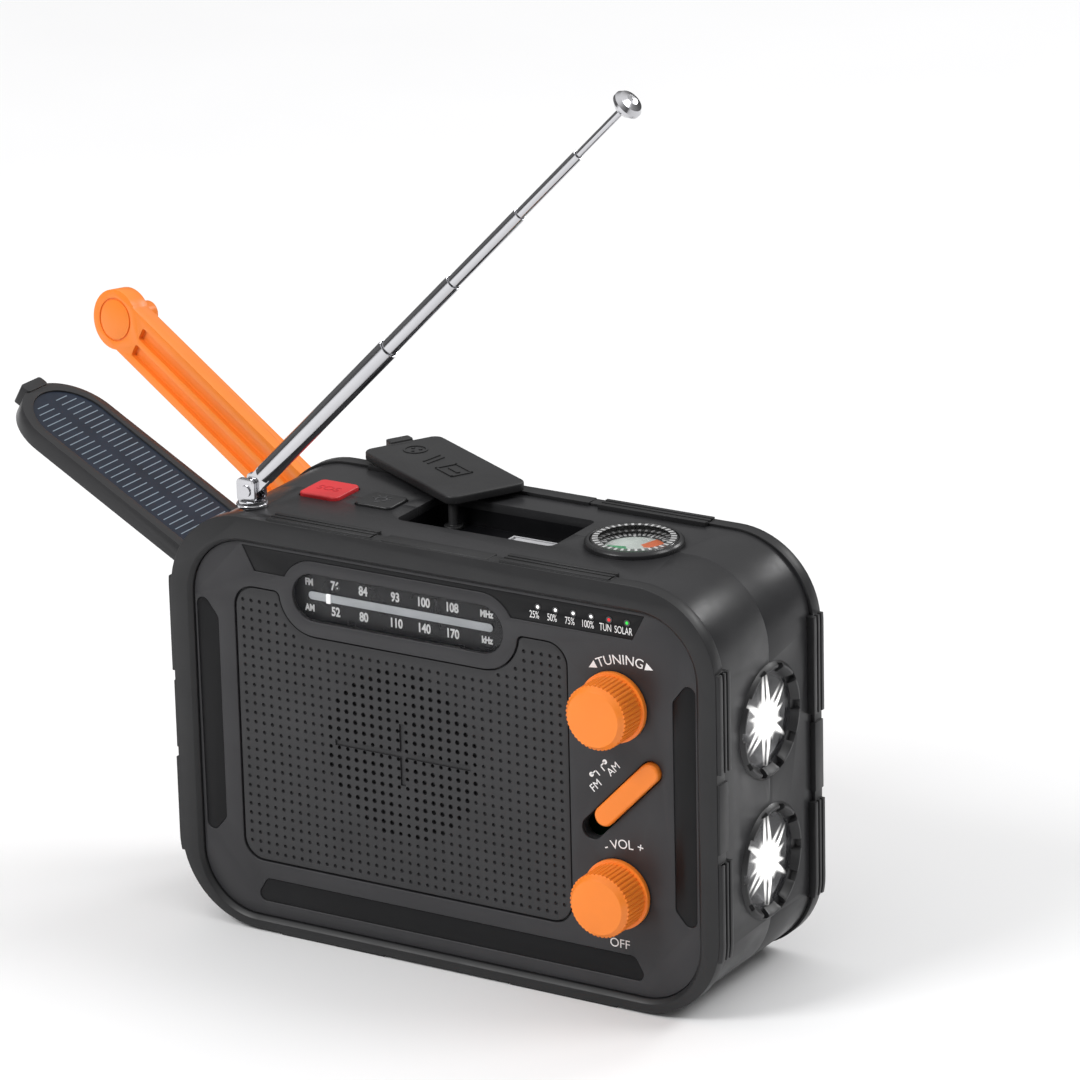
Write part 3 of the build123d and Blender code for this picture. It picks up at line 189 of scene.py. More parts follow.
def surface(name, colour, rough, tint=0.10, grain=0.35 * MM, bump=0.12, metal=0.0, edge=0.0,
            patch=22 * MM, specular=0.4):
    """A moulded, cast or plated surface: cloudy tone, fine grain and uneven gloss."""
    material = bpy.data.materials.new(name)
    tree, nodes, shader = nodes_of(material)
    cloud = noise(tree, patch, detail=4.0)
    tone = ramp(tree, cloud, [(0.3, scaled(colour, 1 - tint)), (0.7, scaled(colour, 1 + tint))])
    tree.links.new(tone, shader.inputs["Base Color"])
    gloss = noise(tree, patch / 3, detail=5.0)
    tree.links.new(remap(tree, gloss, 0.3, 0.7, max(0.02, rough - 0.06), rough + 0.06),
                   shader.inputs["Roughness"])
    shader.inputs["Metallic"].default_value = metal
    shader.inputs["Specular IOR Level"].default_value = specular
    relief = nodes.new("ShaderNodeBump")
    relief.inputs["Strength"].default_value = bump
    relief.inputs["Distance"].default_value = 0.05 * MM
    tree.links.new(noise(tree, grain, detail=2.0), relief.inputs["Height"])
    if edge:
        rounding = nodes.new("ShaderNodeBevel")
        rounding.samples = 4
        rounding.inputs["Radius"].default_value = edge
        tree.links.new(rounding.outputs["Normal"], relief.inputs["Normal"])
    tree.links.new(relief.outputs["Normal"], shader.inputs["Normal"])
    return material


def clear(name, alpha, colour=(0.05, 0.05, 0.055), rough=0.07):
    """Thin clear plastic or glass with faint smears."""
    material = surface(name, colour, rough, tint=0.03, bump=0.01, patch=15 * MM)
    tree, _, shader = nodes_of(material)
    smear = noise(tree, 9 * MM, detail=5.0)
    tree.links.new(remap(tree, smear, 0.3, 0.7, alpha * 0.8, alpha * 1.2), shader.inputs["Alpha"])
    return material


def glowing(name, colour, strength):
    """A lit surface with a slightly uneven glow."""
    material = surface(name, colour, 0.3, tint=0.04, bump=0.03)
    tree, _, shader = nodes_of(material)
    shader.inputs["Emission Color"].default_value = (*colour, 1)
    glow = noise(tree, 1.5 * MM, detail=2.0)
    tree.links.new(remap(tree, glow, 0.2, 0.8, strength * 0.85, strength * 1.1),
                   shader.inputs["Emission Strength"])
    return material


ORANGE = (0.95, 0.245, 0.026)

case_mat = surface("case_plastic", (0.026, 0.026, 0.0275), 0.34, bump=0.14, grain=0.28 * MM,
                   specular=0.26)
bumper_mat = surface("bumper_rubber", (0.017, 0.017, 0.018), 0.40, bump=0.14, grain=0.4 * MM,
                     specular=0.34)
face_mat = surface("face_plastic", (0.028, 0.0275, 0.030), 0.45, bump=0.16, grain=0.28 * MM)
grille_mat = surface("grille_plastic", (0.027, 0.0268, 0.0285), 0.48, bump=0.18, grain=0.3 * MM)
# Near black on the walls and floors of the grille's holes, dimples and cross groove: painted shade in the
# recesses.
pit_shade_mat = surface("grille_pit_shade", (0.003, 0.003, 0.003), 0.8, bump=0.1)
inlay_mat = surface("inlay_plastic", (0.0035, 0.0035, 0.0043), 0.36, bump=0.05, specular=0.22)
orange_mat = surface("orange_plastic", ORANGE, 0.34, tint=0.05, bump=0.09, grain=0.3 * MM)
red_mat = surface("red_key", (0.66, 0.030, 0.036), 0.36, tint=0.07, bump=0.08)
key_mat = surface("dark_key", (0.014, 0.014, 0.015), 0.36, bump=0.08)
print_mat = surface("white_print", (0.86, 0.86, 0.86), 0.55, tint=0.04, bump=0.05)
scale_mat = surface("dial_black", (0.004, 0.004, 0.005), 0.30, bump=0.02)
bar_mat = surface("dial_bar", (0.50, 0.52, 0.54), 0.32, tint=0.08, bump=0.03)
window_mat = clear("dial_window", 0.10)
nylon_mat = surface("nylon", (0.62, 0.60, 0.55), 0.5, edge=0.15 * MM)
cord_mat = surface("dial_cord", (0.45, 0.42, 0.34), 0.8, grain=0.2 * MM, bump=0.4)
board_mat = surface("board", (0.02, 0.13, 0.06), 0.35, bump=0.1, patch=6 * MM)
plated_mat = surface("plated_steel", (0.62, 0.62, 0.64), 0.34, metal=0.35, bump=0.05, tint=0.06)
steel_mat = surface("steel", (0.50, 0.50, 0.51), 0.33, metal=1.0, bump=0.08, tint=0.08)
chrome_mat = surface("chrome", (0.54, 0.54, 0.56), 0.13, metal=1.0, bump=0.015, tint=0.04)
cover_mat = surface("soft_cover", (0.020, 0.020, 0.021), 0.50, bump=0.2, grain=0.35 * MM)
bezel_mat = surface("torch_bezel", (0.016, 0.016, 0.017), 0.38, bump=0.1)
mirror_mat = surface("torch_mirror", (0.16, 0.16, 0.165), 0.34, metal=1.0, bump=0.02, tint=0.03)
compass_body_mat = surface("compass_body", (0.014, 0.014, 0.015), 0.28, bump=0.04)
card_mat = surface("compass_dial", (0.66, 0.72, 0.68), 0.4, tint=0.16, patch=5 * MM, bump=0.04)
green_mat = surface("compass_green", (0.10, 0.42, 0.20), 0.4, tint=0.1, patch=4 * MM)
north_mat = surface("compass_north", (0.85, 0.20, 0.08), 0.4, tint=0.08, patch=4 * MM)
cell_mat = surface("solar_cell", (0.012, 0.018, 0.032), 0.34, tint=0.25, patch=7 * MM, bump=0.03,
                   specular=0.22)
finger_mat = surface("cell_fingers", (0.20, 0.25, 0.30), 0.45, tint=0.08)
milky_mat = surface("diffuser", (0.85, 0.86, 0.86), 0.35, tint=0.04)
sleeve_mat = surface("battery_sleeve", (0.04, 0.16, 0.45), 0.35)
magnet_mat = surface("magnet", (0.10, 0.10, 0.11), 0.5, metal=0.6, bump=0.2)
cone_mat = surface("speaker_cone", (0.02, 0.02, 0.02), 0.85, bump=0.5, grain=0.5 * MM)
socket_black_mat = surface("socket_black", (0.012, 0.012, 0.012), 0.4)
led_mat = glowing("torch_led", (1.0, 0.98, 0.94), 3.0)
floor_mat = surface("floor", (0.90, 0.90, 0.905), 0.6, tint=0.008, bump=0.0, patch=0.5)


def indicator_material():
    """Light pipes: four white, one red and one green, told apart along X."""
    material = surface("indicators", (0.9, 0.9, 0.9), 0.3, bump=0.02)
    tree, _, shader = nodes_of(material)
    across = remap(tree, place_axes(tree)[0], low("light_pipes").x, high("light_pipes").x, 0, 1)
    white, red, green = (0.95, 0.95, 0.95), (0.65, 0.01, 0.015), (0.02, 0.50, 0.05)
    colour = ramp(tree, across, [(0.0, white), (0.72, red), (0.9, green)], "CONSTANT")
    tree.links.new(colour, shader.inputs["Base Color"])
    tree.links.new(colour, shader.inputs["Emission Color"])
    shader.inputs["Emission Strength"].default_value = 0.9
    return material


def pointer_material():
    """White where the needle crosses the pale bar, glowing faintly there as painted light; the thin wire
    above and below doesn't show.
    """
    material = surface("pointer", (0.9, 0.9, 0.9), 0.4, bump=0.02)
    needle_low, needle_high = 0.385, 0.535
    tree, _, shader = nodes_of(material)
    along = remap(tree, place_axes(tree)[2], 80 * MM, 95 * MM, 0, 1)
    dark, white = (0.006, 0.006, 0.007), (1.0, 1.0, 1.0)
    colour = ramp(tree, along, [(0.0, dark), (needle_low, white), (needle_high, dark)], "CONSTANT")
    tree.links.new(colour, shader.inputs["Base Color"])
    # The white stretch glows faintly: painted light, since the needle is no lamp.
    tree.links.new(colour, shader.inputs["Emission Color"])
    shader.inputs["Emission Strength"].default_value = 0.35
    shown = maths(tree, "MULTIPLY", maths(tree, "GREATER_THAN", along, needle_low),
                  maths(tree, "LESS_THAN", along, needle_high))
    tree.links.new(shown, shader.inputs["Alpha"])
    return material


def compass_lens_material():
    """Clear in the middle, with a ring of pale ticks printed round the edge."""
    material = clear("compass_lens", 0.12)
    tree, _, shader = nodes_of(material)
    x, y, _ = place_axes(tree)
    across = maths(tree, "SUBTRACT", x, COMPASS.x)
    along = maths(tree, "SUBTRACT", y, COMPASS.y)
    radius = length_of(tree, across, along)
    turn = maths(tree, "MULTIPLY", maths(tree, "ARCTAN2", along, across), 36.0)
    tick = maths(tree, "GREATER_THAN", maths(tree, "SINE", turn), 0.35)
    inner = maths(tree, "GREATER_THAN", radius, 8.5 * MM)
    outer = maths(tree, "LESS_THAN", radius, 9.8 * MM)
    ring = maths(tree, "MULTIPLY", inner, outer)
    shade = maths(tree, "MULTIPLY", ring, maths(tree, "ADD", maths(tree, "MULTIPLY", tick, 0.50), 0.07))
    tree.links.new(ramp(tree, shade, [(0.0, (0.03, 0.03, 0.03)), (1.0, (1.0, 1.0, 1.0))]),
                   shader.inputs["Base Color"])
    tree.links.new(maths(tree, "ADD", maths(tree, "MULTIPLY", inner, 0.80), 0.12, clamp=True),
                   shader.inputs["Alpha"])
    return material


def torch_lens_material():
    """Clear lens with the lamp's glare: a bright middle that fades out in rays."""
    material = clear("torch_lens", 0.10)
    tree, _, shader = nodes_of(material)
    _, y, z = place_axes(tree)
    between = (TORCH_TOP + TORCH_LOW) / 2
    upper = maths(tree, "GREATER_THAN", z, between)
    centre = maths(tree, "ADD", maths(tree, "MULTIPLY", upper, TORCH_TOP - TORCH_LOW), TORCH_LOW)
    up = maths(tree, "SUBTRACT", z, centre)
    across = maths(tree, "SUBTRACT", y, TORCH_Y)
    radius = length_of(tree, up, across)
    angle = maths(tree, "ARCTAN2", up, across)
    rays = maths(tree, "ABSOLUTE", maths(tree, "SINE", maths(tree, "MULTIPLY", angle, 7.0)))
    fine = maths(tree, "ABSOLUTE", maths(tree, "SINE", maths(tree, "MULTIPLY", angle, 3.0)))
    rays = maths(tree, "POWER", maths(tree, "MULTIPLY", rays, fine), 3.0)
    reach = maths(tree, "ADD", maths(tree, "MULTIPLY", rays, 7.0 * MM), 5.4 * MM)
    glare = maths(tree, "SUBTRACT", 1.0, maths(tree, "DIVIDE", radius, reach), clamp=True)
    shader.inputs["Emission Color"].default_value = (1.0, 0.99, 0.97, 1)
    tree.links.new(maths(tree, "MULTIPLY", glare, 4.5), shader.inputs["Emission Strength"])
    veil = maths(tree, "ADD", maths(tree, "MULTIPLY", glare, 2.5), 0.30, clamp=True)
    tree.links.new(veil, shader.inputs["Alpha"])
    return material


# ---------------------------------------------------------------- mesh tools


SMOOTH_ANGLE = radians(35)
BEVEL_ANGLE = radians(30)
ROUNDED_SMOOTH_ANGLE = radians(40)


def add_mesh(name, build, material, body="root"):
    """A piece from a function that fills a bmesh."""
    mesh = bpy.data.meshes.new(name)
    work = bmesh.new()
    build(work)
    work.to_mesh(mesh)
    work.free()
    return finish_mesh(name, mesh, material, body)


def finish_mesh(name, mesh, material, body):
    """A piece from a mesh, smooth but for its sharp edges, that rides on a body."""
    for polygon in mesh.polygons:
        polygon.use_smooth = True
    mesh.set_sharp_from_angle(angle=SMOOTH_ANGLE)
    mesh.materials.clear()
    mesh.materials.append(material)
    piece = bpy.data.objects.new(name, mesh)
    bpy.context.collection.objects.link(piece)
    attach(piece, body)
    return piece


def rounded(piece, width):
    """Round a piece's sharp edges for good."""
    modifier = piece.modifiers.new("rounding", "BEVEL")
    modifier.width = width
    modifier.segments = 2
    modifier.limit_method = "ANGLE"
    modifier.angle_limit = BEVEL_ANGLE
    modifier.use_clamp_overlap = True
    depsgraph = bpy.context.evaluated_depsgraph_get()
    mesh = bpy.data.meshes.new_from_object(piece.evaluated_get(depsgraph))
    piece.modifiers.clear()
    piece.data = mesh
    for polygon in mesh.polygons:
        polygon.use_smooth = True
    mesh.set_sharp_from_angle(angle=ROUNDED_SMOOTH_ANGLE)
    return piece


def moulded(node, width, material):
    """A copy of a CAD node with rounded edges, which stands for it."""
    source = frame["nodes"][node]
    work = bmesh.new()
    work.from_mesh(source.data)
    work.transform(source.matrix_world)
    bmesh.ops.remove_doubles(work, verts=work.verts, dist=2e-6)
    bmesh.ops.dissolve_limit(work, angle_limit=radians(0.6), verts=work.verts, edges=work.edges)
    mesh = bpy.data.meshes.new(node + "_moulding")
    work.to_mesh(mesh)
    work.free()
    piece = finish_mesh(node + "_moulding", mesh, material, body_of(source)[0])
    rounded(piece, width)
    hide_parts(node)


def paint(material, *names):
    """Give CAD nodes this material."""
    for name in names:
        for slot in frame["nodes"][name].material_slots:
            slot.material = material


def box_into(work, centre, size, turn=None):
    """Add a box to a bmesh, turned about its own middle by a matrix."""
    made = bmesh.ops.create_cube(work, size=1.0)["verts"]
    matrix = Matrix.Translation(centre) @ (turn or Matrix()) @ Matrix.Diagonal((*size, 1.0))
    bmesh.ops.transform(work, matrix=matrix, verts=made)


def prism_into(work, points, thickness, matrix):
    """Add a flat shape of local (x, y) points with this thickness along local z."""
    bottom = [work.verts.new(matrix @ Vector((x, y, 0))) for x, y in points]
    top = [work.verts.new(matrix @ Vector((x, y, thickness))) for x, y in points]
    work.faces.new(list(reversed(bottom)))
    work.faces.new(top)
    for k in range(len(points)):
        n = (k + 1) % len(points)
        work.faces.new([bottom[k], bottom[n], top[n], top[k]])


def ring_into(work, outer, inner, thickness, matrix, start=0.0, end=2 * pi, steps=48):
    """Add a flat ring, or an arc of one, with this thickness along local z."""
    whole = abs(end - start - 2 * pi) < 1e-6
    count = steps if whole else steps + 1
    rows = []
    for k in range(count):
        a = start + (end - start) * k / steps
        rows.append([work.verts.new(matrix @ Vector((r * cos(a), r * sin(a), h)))
                     for r, h in ((inner, 0), (outer, 0), (outer, thickness), (inner, thickness))])
    for k in range(steps):
        a, b = rows[k], rows[(k + 1) % count]
        for i in range(4):
            j = (i + 1) % 4
            work.faces.new([a[i], b[i], b[j], a[j]])
    if not whole:
        work.faces.new(rows[0])
        work.faces.new(list(reversed(rows[-1])))


def on_front(x, z, turn=0.0, y=None):
    """Matrix for a drawing on the front face: local x to the right, local z towards the viewer."""
    place = Matrix.Translation((x, FACE_Y if y is None else y, z))
    return place @ Matrix.Rotation(pi / 2, 4, "X") @ Matrix.Rotation(turn, 4, "Z")


def text_into(work, text, size, matrix, thickness=0.03 * MM, stretch=1.0, weight=0.0):
    """Add raised lettering to a bmesh, centred on the matrix's origin, with strokes fattened by weight."""
    curve = bpy.data.curves.new("lettering", "FONT")
    curve.body = text
    curve.size = size
    curve.extrude = thickness
    curve.offset = weight
    curve.align_x = "CENTER"
    curve.align_y = "CENTER"
    holder = bpy.data.objects.new("lettering", curve)
    mesh = bpy.data.meshes.new_from_object(holder)
    mesh.transform(matrix @ Matrix.Diagonal((stretch, 1, 1, 1)))
    work.from_mesh(mesh)
    bpy.data.objects.remove(holder)
    bpy.data.curves.remove(curve)
    bpy.data.meshes.remove(mesh)


# ---------------------------------------------------------------- moulded parts

for names, width, material in (
        (("front_shell", "rear_shell"), 0.15 * MM, case_mat),
        (("front_bumper", "rear_bumper"), 0.35 * MM, bumper_mat),
        (("face_plate",), 0.18 * MM, face_mat),
        (("face_inlays", "rear_inlays"), 0.2 * MM, inlay_mat),
        (("tuning_knob", "volume_knob"), 0.12 * MM, orange_mat),
        (("band_slider",), 0.15 * MM, orange_mat),
        (("crank_hub", "crank_arm"), 0.35 * MM, orange_mat),
        (("crank_knob",), 0.5 * MM, orange_mat),
        (("sos_button",), 0.2 * MM, red_mat),
        (("lamp_button",), 0.2 * MM, key_mat),
        (("port_cover",), 0.3 * MM, cover_mat),
        (("cover_tether",), 0.2 * MM, cover_mat),
        (("lid_frame",), 0.35 * MM, case_mat),
        (("torch_bezels",), 0.25 * MM, bezel_mat),
        (("compass_housing",), 0.2 * MM, compass_body_mat),
        (("antenna_fork", "antenna_base"), 0.2 * MM, chrome_mat)):
    for name in names:
        moulded(name, width, material)

paint(inlay_mat, "port_bay")
paint(window_mat, "dial_window")
paint(scale_mat, "dial_scale")
paint(pointer_material(), "tuning_pointer")
paint(nylon_mat, "tuning_drum", "guide_pulleys", "tuning_capacitor", "drive_gear", "idler_gear")
paint(cord_mat, "dial_cord")
paint(board_mat, "main_board")
paint(plated_mat, "usb_sockets", "volume_pot")
paint(surface("switch_body", (0.010, 0.010, 0.011), 0.5), "band_switch")
paint(steel_mat, "strap_pin", "crank_fold_pin", "generator_case", "speaker_frame")
paint(chrome_mat, "rear_screws", "antenna_pin", *(f"antenna_section_{k}" for k in range(1, 6)))
paint(mirror_mat, "torch_reflectors")
paint(led_mat, "torch_leds")
paint(torch_lens_material(), "torch_lenses")
paint(surface("light_pipes", (0.05, 0.05, 0.052), 0.2), "light_pipes")
paint(card_mat, "compass_card")
paint(compass_lens_material(), "compass_lens")
paint(cell_mat, "solar_cell")
paint(milky_mat, "reading_lamp")
paint(sleeve_mat, "battery")
paint(magnet_mat, "generator_rotor", "ferrite_rod")
paint(cone_mat, "speaker_cone")

# ---------------------------------------------------------------- speaker grille

PITCH = 2.35 * MM
PIT_SIDES = 10
CROSS_X, CROSS_Z, CROSS_HALF = 18.7 * MM, 7.7 * MM, 0.7 * MM
OPEN_R = 21.5 * MM          # deep holes inside this circle, shallow dimples outside
HOLE_R, DIMPLE_R = 0.63 * MM, 0.52 * MM
HOLE_DEPTH, DIMPLE_DEPTH, CROSS_DEPTH = 0.85 * MM, 0.5 * MM, 0.45 * MM
EDGE_CLEARANCE = 0.9 * MM   # from a pit's middle to the panel's edge
GRID_REACH = 22
GRILLE_EDGE = 0.35 * MM


def outline_of(node, y):
    """The outer edge of a CAD node's flat front at this y, as (x, z) points."""
    mesh = frame["nodes"][node].data
    spot = {v.index: (round(v.co.x, 7), round(v.co.z, 7)) for v in mesh.vertices}
    count = {}
    for polygon in mesh.polygons:
        if all(abs(mesh.vertices[v].co.y - y) < 2e-6 for v in polygon.vertices):
            corners = [spot[v] for v in polygon.vertices]
            for a, b in zip(corners, corners[1:] + corners[:1]):
                key = frozenset((a, b))
                count[key] = count.get(key, 0) + 1
    beside = {}
    for key in (k for k, n in count.items() if n == 1 and len(k) == 2):
        a, b = key
        beside.setdefault(a, []).append(b)
        beside.setdefault(b, []).append(a)
    start = min(beside)
    loop, before, here = [start], None, start
    while True:
        after = next(p for p in beside[here] if p != before)
        if after == start:
            return loop
        loop.append(after)
        before, here = here, after


def clockwise(points):
    area = sum(a[0] * b[1] - b[0] * a[1] for a, b in zip(points, points[1:] + points[:1]))
    return area < 0


def inset(points, amount):
    """Points moved inwards across their own corners."""
    count = len(points)
    turned = -1 if clockwise(points) else 1
    moved = []
    for k, here in enumerate(points):
        before, after = Vector(points[k - 1]), Vector(points[(k + 1) % count])
        here = Vector(here)
        one, two = (here - before).normalized(), (after - here).normalized()
        normal = Vector((-(one.y + two.y), one.x + two.x)).normalized() * turned
        stretch = max(0.5, normal.dot(Vector((-one.y, one.x)) * turned))
        moved.append(tuple(here + normal * amount / stretch))
    return moved


def inside_by(point, polygon):
    """Distance from a point inside a polygon to its edge, or a negative number outside."""
    x, z = point
    odd, nearest = False, 1.0
    for (ax, az), (bx, bz) in zip(polygon, polygon[1:] + polygon[:1]):
        if (az > z) != (bz > z) and x < (bx - ax) * (z - az) / (bz - az) + ax:
            odd = not odd
        length = hypot(bx - ax, bz - az) or 1e-9
        along = max(0.0, min(1.0, ((x - ax) * (bx - ax) + (z - az) * (bz - az)) / length ** 2))
        nearest = min(nearest, hypot(x - ax - along * (bx - ax), z - az - along * (bz - az)))
    return nearest if odd else -nearest


def cross_outline():
    a, b, h = CROSS_X, CROSS_Z, CROSS_HALF
    corners = [(a, -h), (a, h), (h, h), (h, b), (-h, b), (-h, h),
               (-a, h), (-a, -h), (-h, -h), (-h, -b), (h, -b), (h, -h)]
    return [(SPEAKER.x + x, SPEAKER.z + z) for x, z in corners]


def build_grille(work):
    """The perforated panel: a flat sheet with pits and a sunk cross."""
    front = low("face_inlays").y
    outer = outline_of("speaker_grille", low("speaker_grille").y + 0.3 * MM)
    if clockwise(outer):
        outer.reverse()
    outer = inset(outer, 0.1 * MM)
    edge = inset(outer, GRILLE_EDGE)
    cross = cross_outline()
    pits = []
    for i in range(-GRID_REACH, GRID_REACH + 1):
        for k in range(-GRID_REACH, GRID_REACH + 1):
            spot = (SPEAKER.x + (i + 0.5) * PITCH, SPEAKER.z + (k + 0.5) * PITCH)
            if inside_by(spot, edge) < EDGE_CLEARANCE:
                continue
            deep = hypot(spot[0] - SPEAKER.x, spot[1] - SPEAKER.z) < OPEN_R
            beside = min(abs(spot[0] - SPEAKER.x), abs(spot[1] - SPEAKER.z)) < PITCH
            pits.append((spot, DIMPLE_R if beside or not deep else HOLE_R, deep))
    loops = [edge, cross]
    angles = [2 * pi * n / PIT_SIDES for n in range(PIT_SIDES)]
    for (x, z), radius, _ in pits:
        loops.append([(x + radius * cos(a), z + radius * sin(a)) for a in angles])
    flat, faces = [], []
    for loop in loops:
        faces.append(list(range(len(flat), len(flat) + len(loop))))
        flat += [Vector(p) for p in loop]
    points, _, triangles, origins, _, owners = delaunay_2d_cdt(flat, [], faces, 1, 1e-7)
    verts = [work.verts.new((p.x, front, p.y)) for p in points]
    at = {o: verts[n] for n, origin in enumerate(origins) for o in origin}
    for triangle, owner in zip(triangles, owners):
        if len(owner) == 1:
            work.faces.new([verts[v] for v in triangle])

    def wall(indices, depth, shrink, centre):
        """Sink a loop: its walls and a floor, in the second material, near black as painted shade."""
        rim = [at[n] for n in indices]
        floor = [work.verts.new((centre[0] + (v.co.x - centre[0]) * shrink, front + depth,
                                 centre[1] + (v.co.z - centre[1]) * shrink)) for v in rim]
        for n in range(len(rim)):
            m = (n + 1) % len(rim)
            work.faces.new([rim[n], rim[m], floor[m], floor[n]]).material_index = 1
        work.faces.new(floor).material_index = 1

    wall(faces[1], CROSS_DEPTH, 1.0, (SPEAKER.x, SPEAKER.z))
    for indices, (spot, _, deep) in zip(faces[2:], pits):
        wall(indices, HOLE_DEPTH if deep else DIMPLE_DEPTH, 0.95 if deep else 0.6, spot)
    rim = [at[n] for n in faces[0]]
    rows = [rim]
    for loop, depth in ((inset(outer, 0.1 * MM), 0.12 * MM), (outer, 0.35 * MM), (outer, 0.95 * MM)):
        rows.append([work.verts.new((x, front + depth, z)) for x, z in loop])
    for a, b in zip(rows, rows[1:]):
        for n in range(len(a)):
            m = (n + 1) % len(a)
            work.faces.new([a[m], a[n], b[n], b[m]])
    work.faces.new(list(reversed(rows[-1])))
    bmesh.ops.recalc_face_normals(work, faces=work.faces)


grille = add_mesh("speaker_grille_panel", build_grille, grille_mat)
grille.data.materials.append(pit_shade_mat)
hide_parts("speaker_grille")

# ---------------------------------------------------------------- dial

BAR_LOW, BAR_HIGH = DIAL.x - 25.8 * MM, DIAL.x + 24.9 * MM
BAR_Z = 86.9 * MM
ROWS = (("FM 76 84 93 100 108 MHz", 3.05), ("AM 52 80 110 140 170 kHz", -3.35))
MARKS_X = (-37.4, -30.2, -22.4, -13.5, -5.8, 2.0, 11.4)


def build_dial_print(work):
    for text, lift in ROWS:
        for x, word in zip(MARKS_X, text.split()):
            size = 3.1 if word[0].isdigit() else 2.3
            place = on_front(x * MM, BAR_Z + lift * MM, y=low("dial_scale").y + 0.28 * MM)
            text_into(work, word, size * MM, place, stretch=0.78, weight=0.10 * MM)


dial_print = add_mesh("dial_print", build_dial_print, print_mat)


def build_bar(work):
    """The pale bar between the two rows of numbers."""
    half = 1.0 * MM
    points = []
    for centre, start in ((BAR_HIGH - half, -pi / 2), (BAR_LOW + half, pi / 2)):
        points += [(centre + half * cos(start + pi * n / 10), half * sin(start + pi * n / 10))
                   for n in range(11)]
    prism_into(work, points, 0.12 * MM, on_front(0, BAR_Z, y=low("dial_scale").y))


dial_bar = rounded(add_mesh("dial_bar", build_bar, bar_mat), 0.05 * MM)

# ---------------------------------------------------------------- prints on the front


ARC_R = 18 * MM
ARC_TILT = radians(7)
ARROW_REACH = 7.7 * MM
INK = 0.03 * MM


def on_arc(centre, angle, up=0.0):
    """Point at an angle along the tilted arc over a knob, this much above its line."""
    reach = ARC_R + up
    spot = Vector((reach * sin(angle), 0, reach * cos(angle) - ARC_R))
    return centre + Matrix.Rotation(-ARC_TILT, 3, "Y") @ spot


def arc_text(work, text, size, centre):
    """Lettering bent round an arc over a knob."""
    known = set(work.verts)
    text_into(work, text, size, Matrix())
    for vert in (v for v in work.verts if v not in known):
        across, up, out = vert.co
        spot = on_arc(centre, across / ARC_R, up)
        vert.co = (spot.x, FACE_Y - out, spot.z)


def lead_line(work, x, z, bend, slant):
    """A dot with a bent line from it to the word beside it."""
    ring_into(work, 0.6 * MM, 0.02 * MM, INK, on_front(x * MM, z * MM), steps=16)
    lead = on_front(x * MM, z * MM, slant)
    long, short, drop, half = bend * 1.8 * MM, bend * 1.5 * MM, -1.5 * MM, 0.15 * MM
    for outline in ([(0, -half), (long, -half), (long, half), (0, half)],
                    [(long, half), (short, half), (short, drop), (long, drop)]):
        prism_into(work, outline[::bend], INK, lead)


def build_front_print(work):
    above = TUNING + Vector((1.4 * MM, 0, 11.4 * MM))
    arc_text(work, "TUNING", 3.3 * MM, above)
    for sign in (-1, 1):
        angle = sign * ARROW_REACH / ARC_R
        spot = on_arc(above, angle)
        place = on_front(spot.x, spot.z, ARC_TILT - angle)
        tip = [(1.2 * sign * MM, 0), (-0.9 * sign * MM, 0.95 * MM), (-0.9 * sign * MM, -0.95 * MM)]
        prism_into(work, tip[::sign], INK, place)
    arc_text(work, "- VOL +", 3.2 * MM, VOLUME + Vector((1.5 * MM, 0, 12.2 * MM)))
    text_into(work, "OFF", 3.1 * MM, on_front(VOLUME.x, VOLUME.z - 12.7 * MM))
    slant = radians(46)
    for word, x, z in (("FM", 41.4, 54.0), ("AM", 46.2, 58.9)):
        text_into(work, word, 2.7 * MM, on_front(x * MM, z * MM, slant))
    for x, z, bend in ((40.3, 56.6, 1), (43.9, 60.3, -1)):
        lead_line(work, x, z, bend, slant)
    for k, word in enumerate(("25%", "50%", "75%", "100%", "TUN", "SOLAR")):
        x = lamp_x(k)
        place = on_front(x - 1.0 * MM, LAMPS.z - 2.1 * MM, y=low("face_inlays").y - 0.01 * MM)
        text_into(work, word, 2.5 * MM, place, stretch=0.62)


front_print = add_mesh("front_print", build_front_print, print_mat)


def build_indicators(work):
    """Domed ends of the light pipes."""
    for k in range(6):
        x = lamp_x(k)
        made = bmesh.ops.create_uvsphere(work, u_segments=16, v_segments=8, radius=0.52 * MM)["verts"]
        flat = Matrix.Translation((x, low("face_inlays").y, LAMPS.z)) @ Matrix.Diagonal((1, 0.3, 1, 1))
        bmesh.ops.transform(work, matrix=flat, verts=made)


indicators = add_mesh("indicator_domes", build_indicators, indicator_material())

# ---------------------------------------------------------------- top face


def on_top(x, y, z, turn=0.0):
    return Matrix.Translation((x, y, z)) @ Matrix.Rotation(turn, 4, "Z")


def build_sos(work):
    spot = middle("sos_button")
    text_into(work, "SOS", 3.6 * MM, on_top(spot.x, spot.y, high("sos_button").z, pi), 0.08 * MM)


sos_print = add_mesh("sos_letters", build_sos, surface("sos_letters", (0.52, 0.02, 0.03), 0.4))
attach(sos_print, "sos_button")


def build_lamp_icon(work):
    """A lamp sign: a ring with a foot and short rays."""
    spot = middle("lamp_button")
    place = on_top(spot.x, spot.y, high("lamp_button").z)
    ring_into(work, 1.5 * MM, 1.15 * MM, 0.08 * MM, place, radians(-50), radians(230), 28)
    for y in (-1.6, -2.2):
        box_into(work, place @ Vector((0, y * MM, 0.04 * MM)), (1.2 * MM, 0.28 * MM, 0.08 * MM))
    for k in range(5):
        angle = radians(10 + 40 * k)
        spot = place @ Vector((2.3 * MM * cos(angle), 2.3 * MM * sin(angle), 0.04 * MM))
        box_into(work, spot, (0.8 * MM, 0.25 * MM, 0.08 * MM), Matrix.Rotation(angle, 4, "Z"))


lamp_icon = add_mesh("lamp_sign", build_lamp_icon, surface("lamp_sign", (0.07, 0.07, 0.075), 0.4))
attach(lamp_icon, "lamp_button")


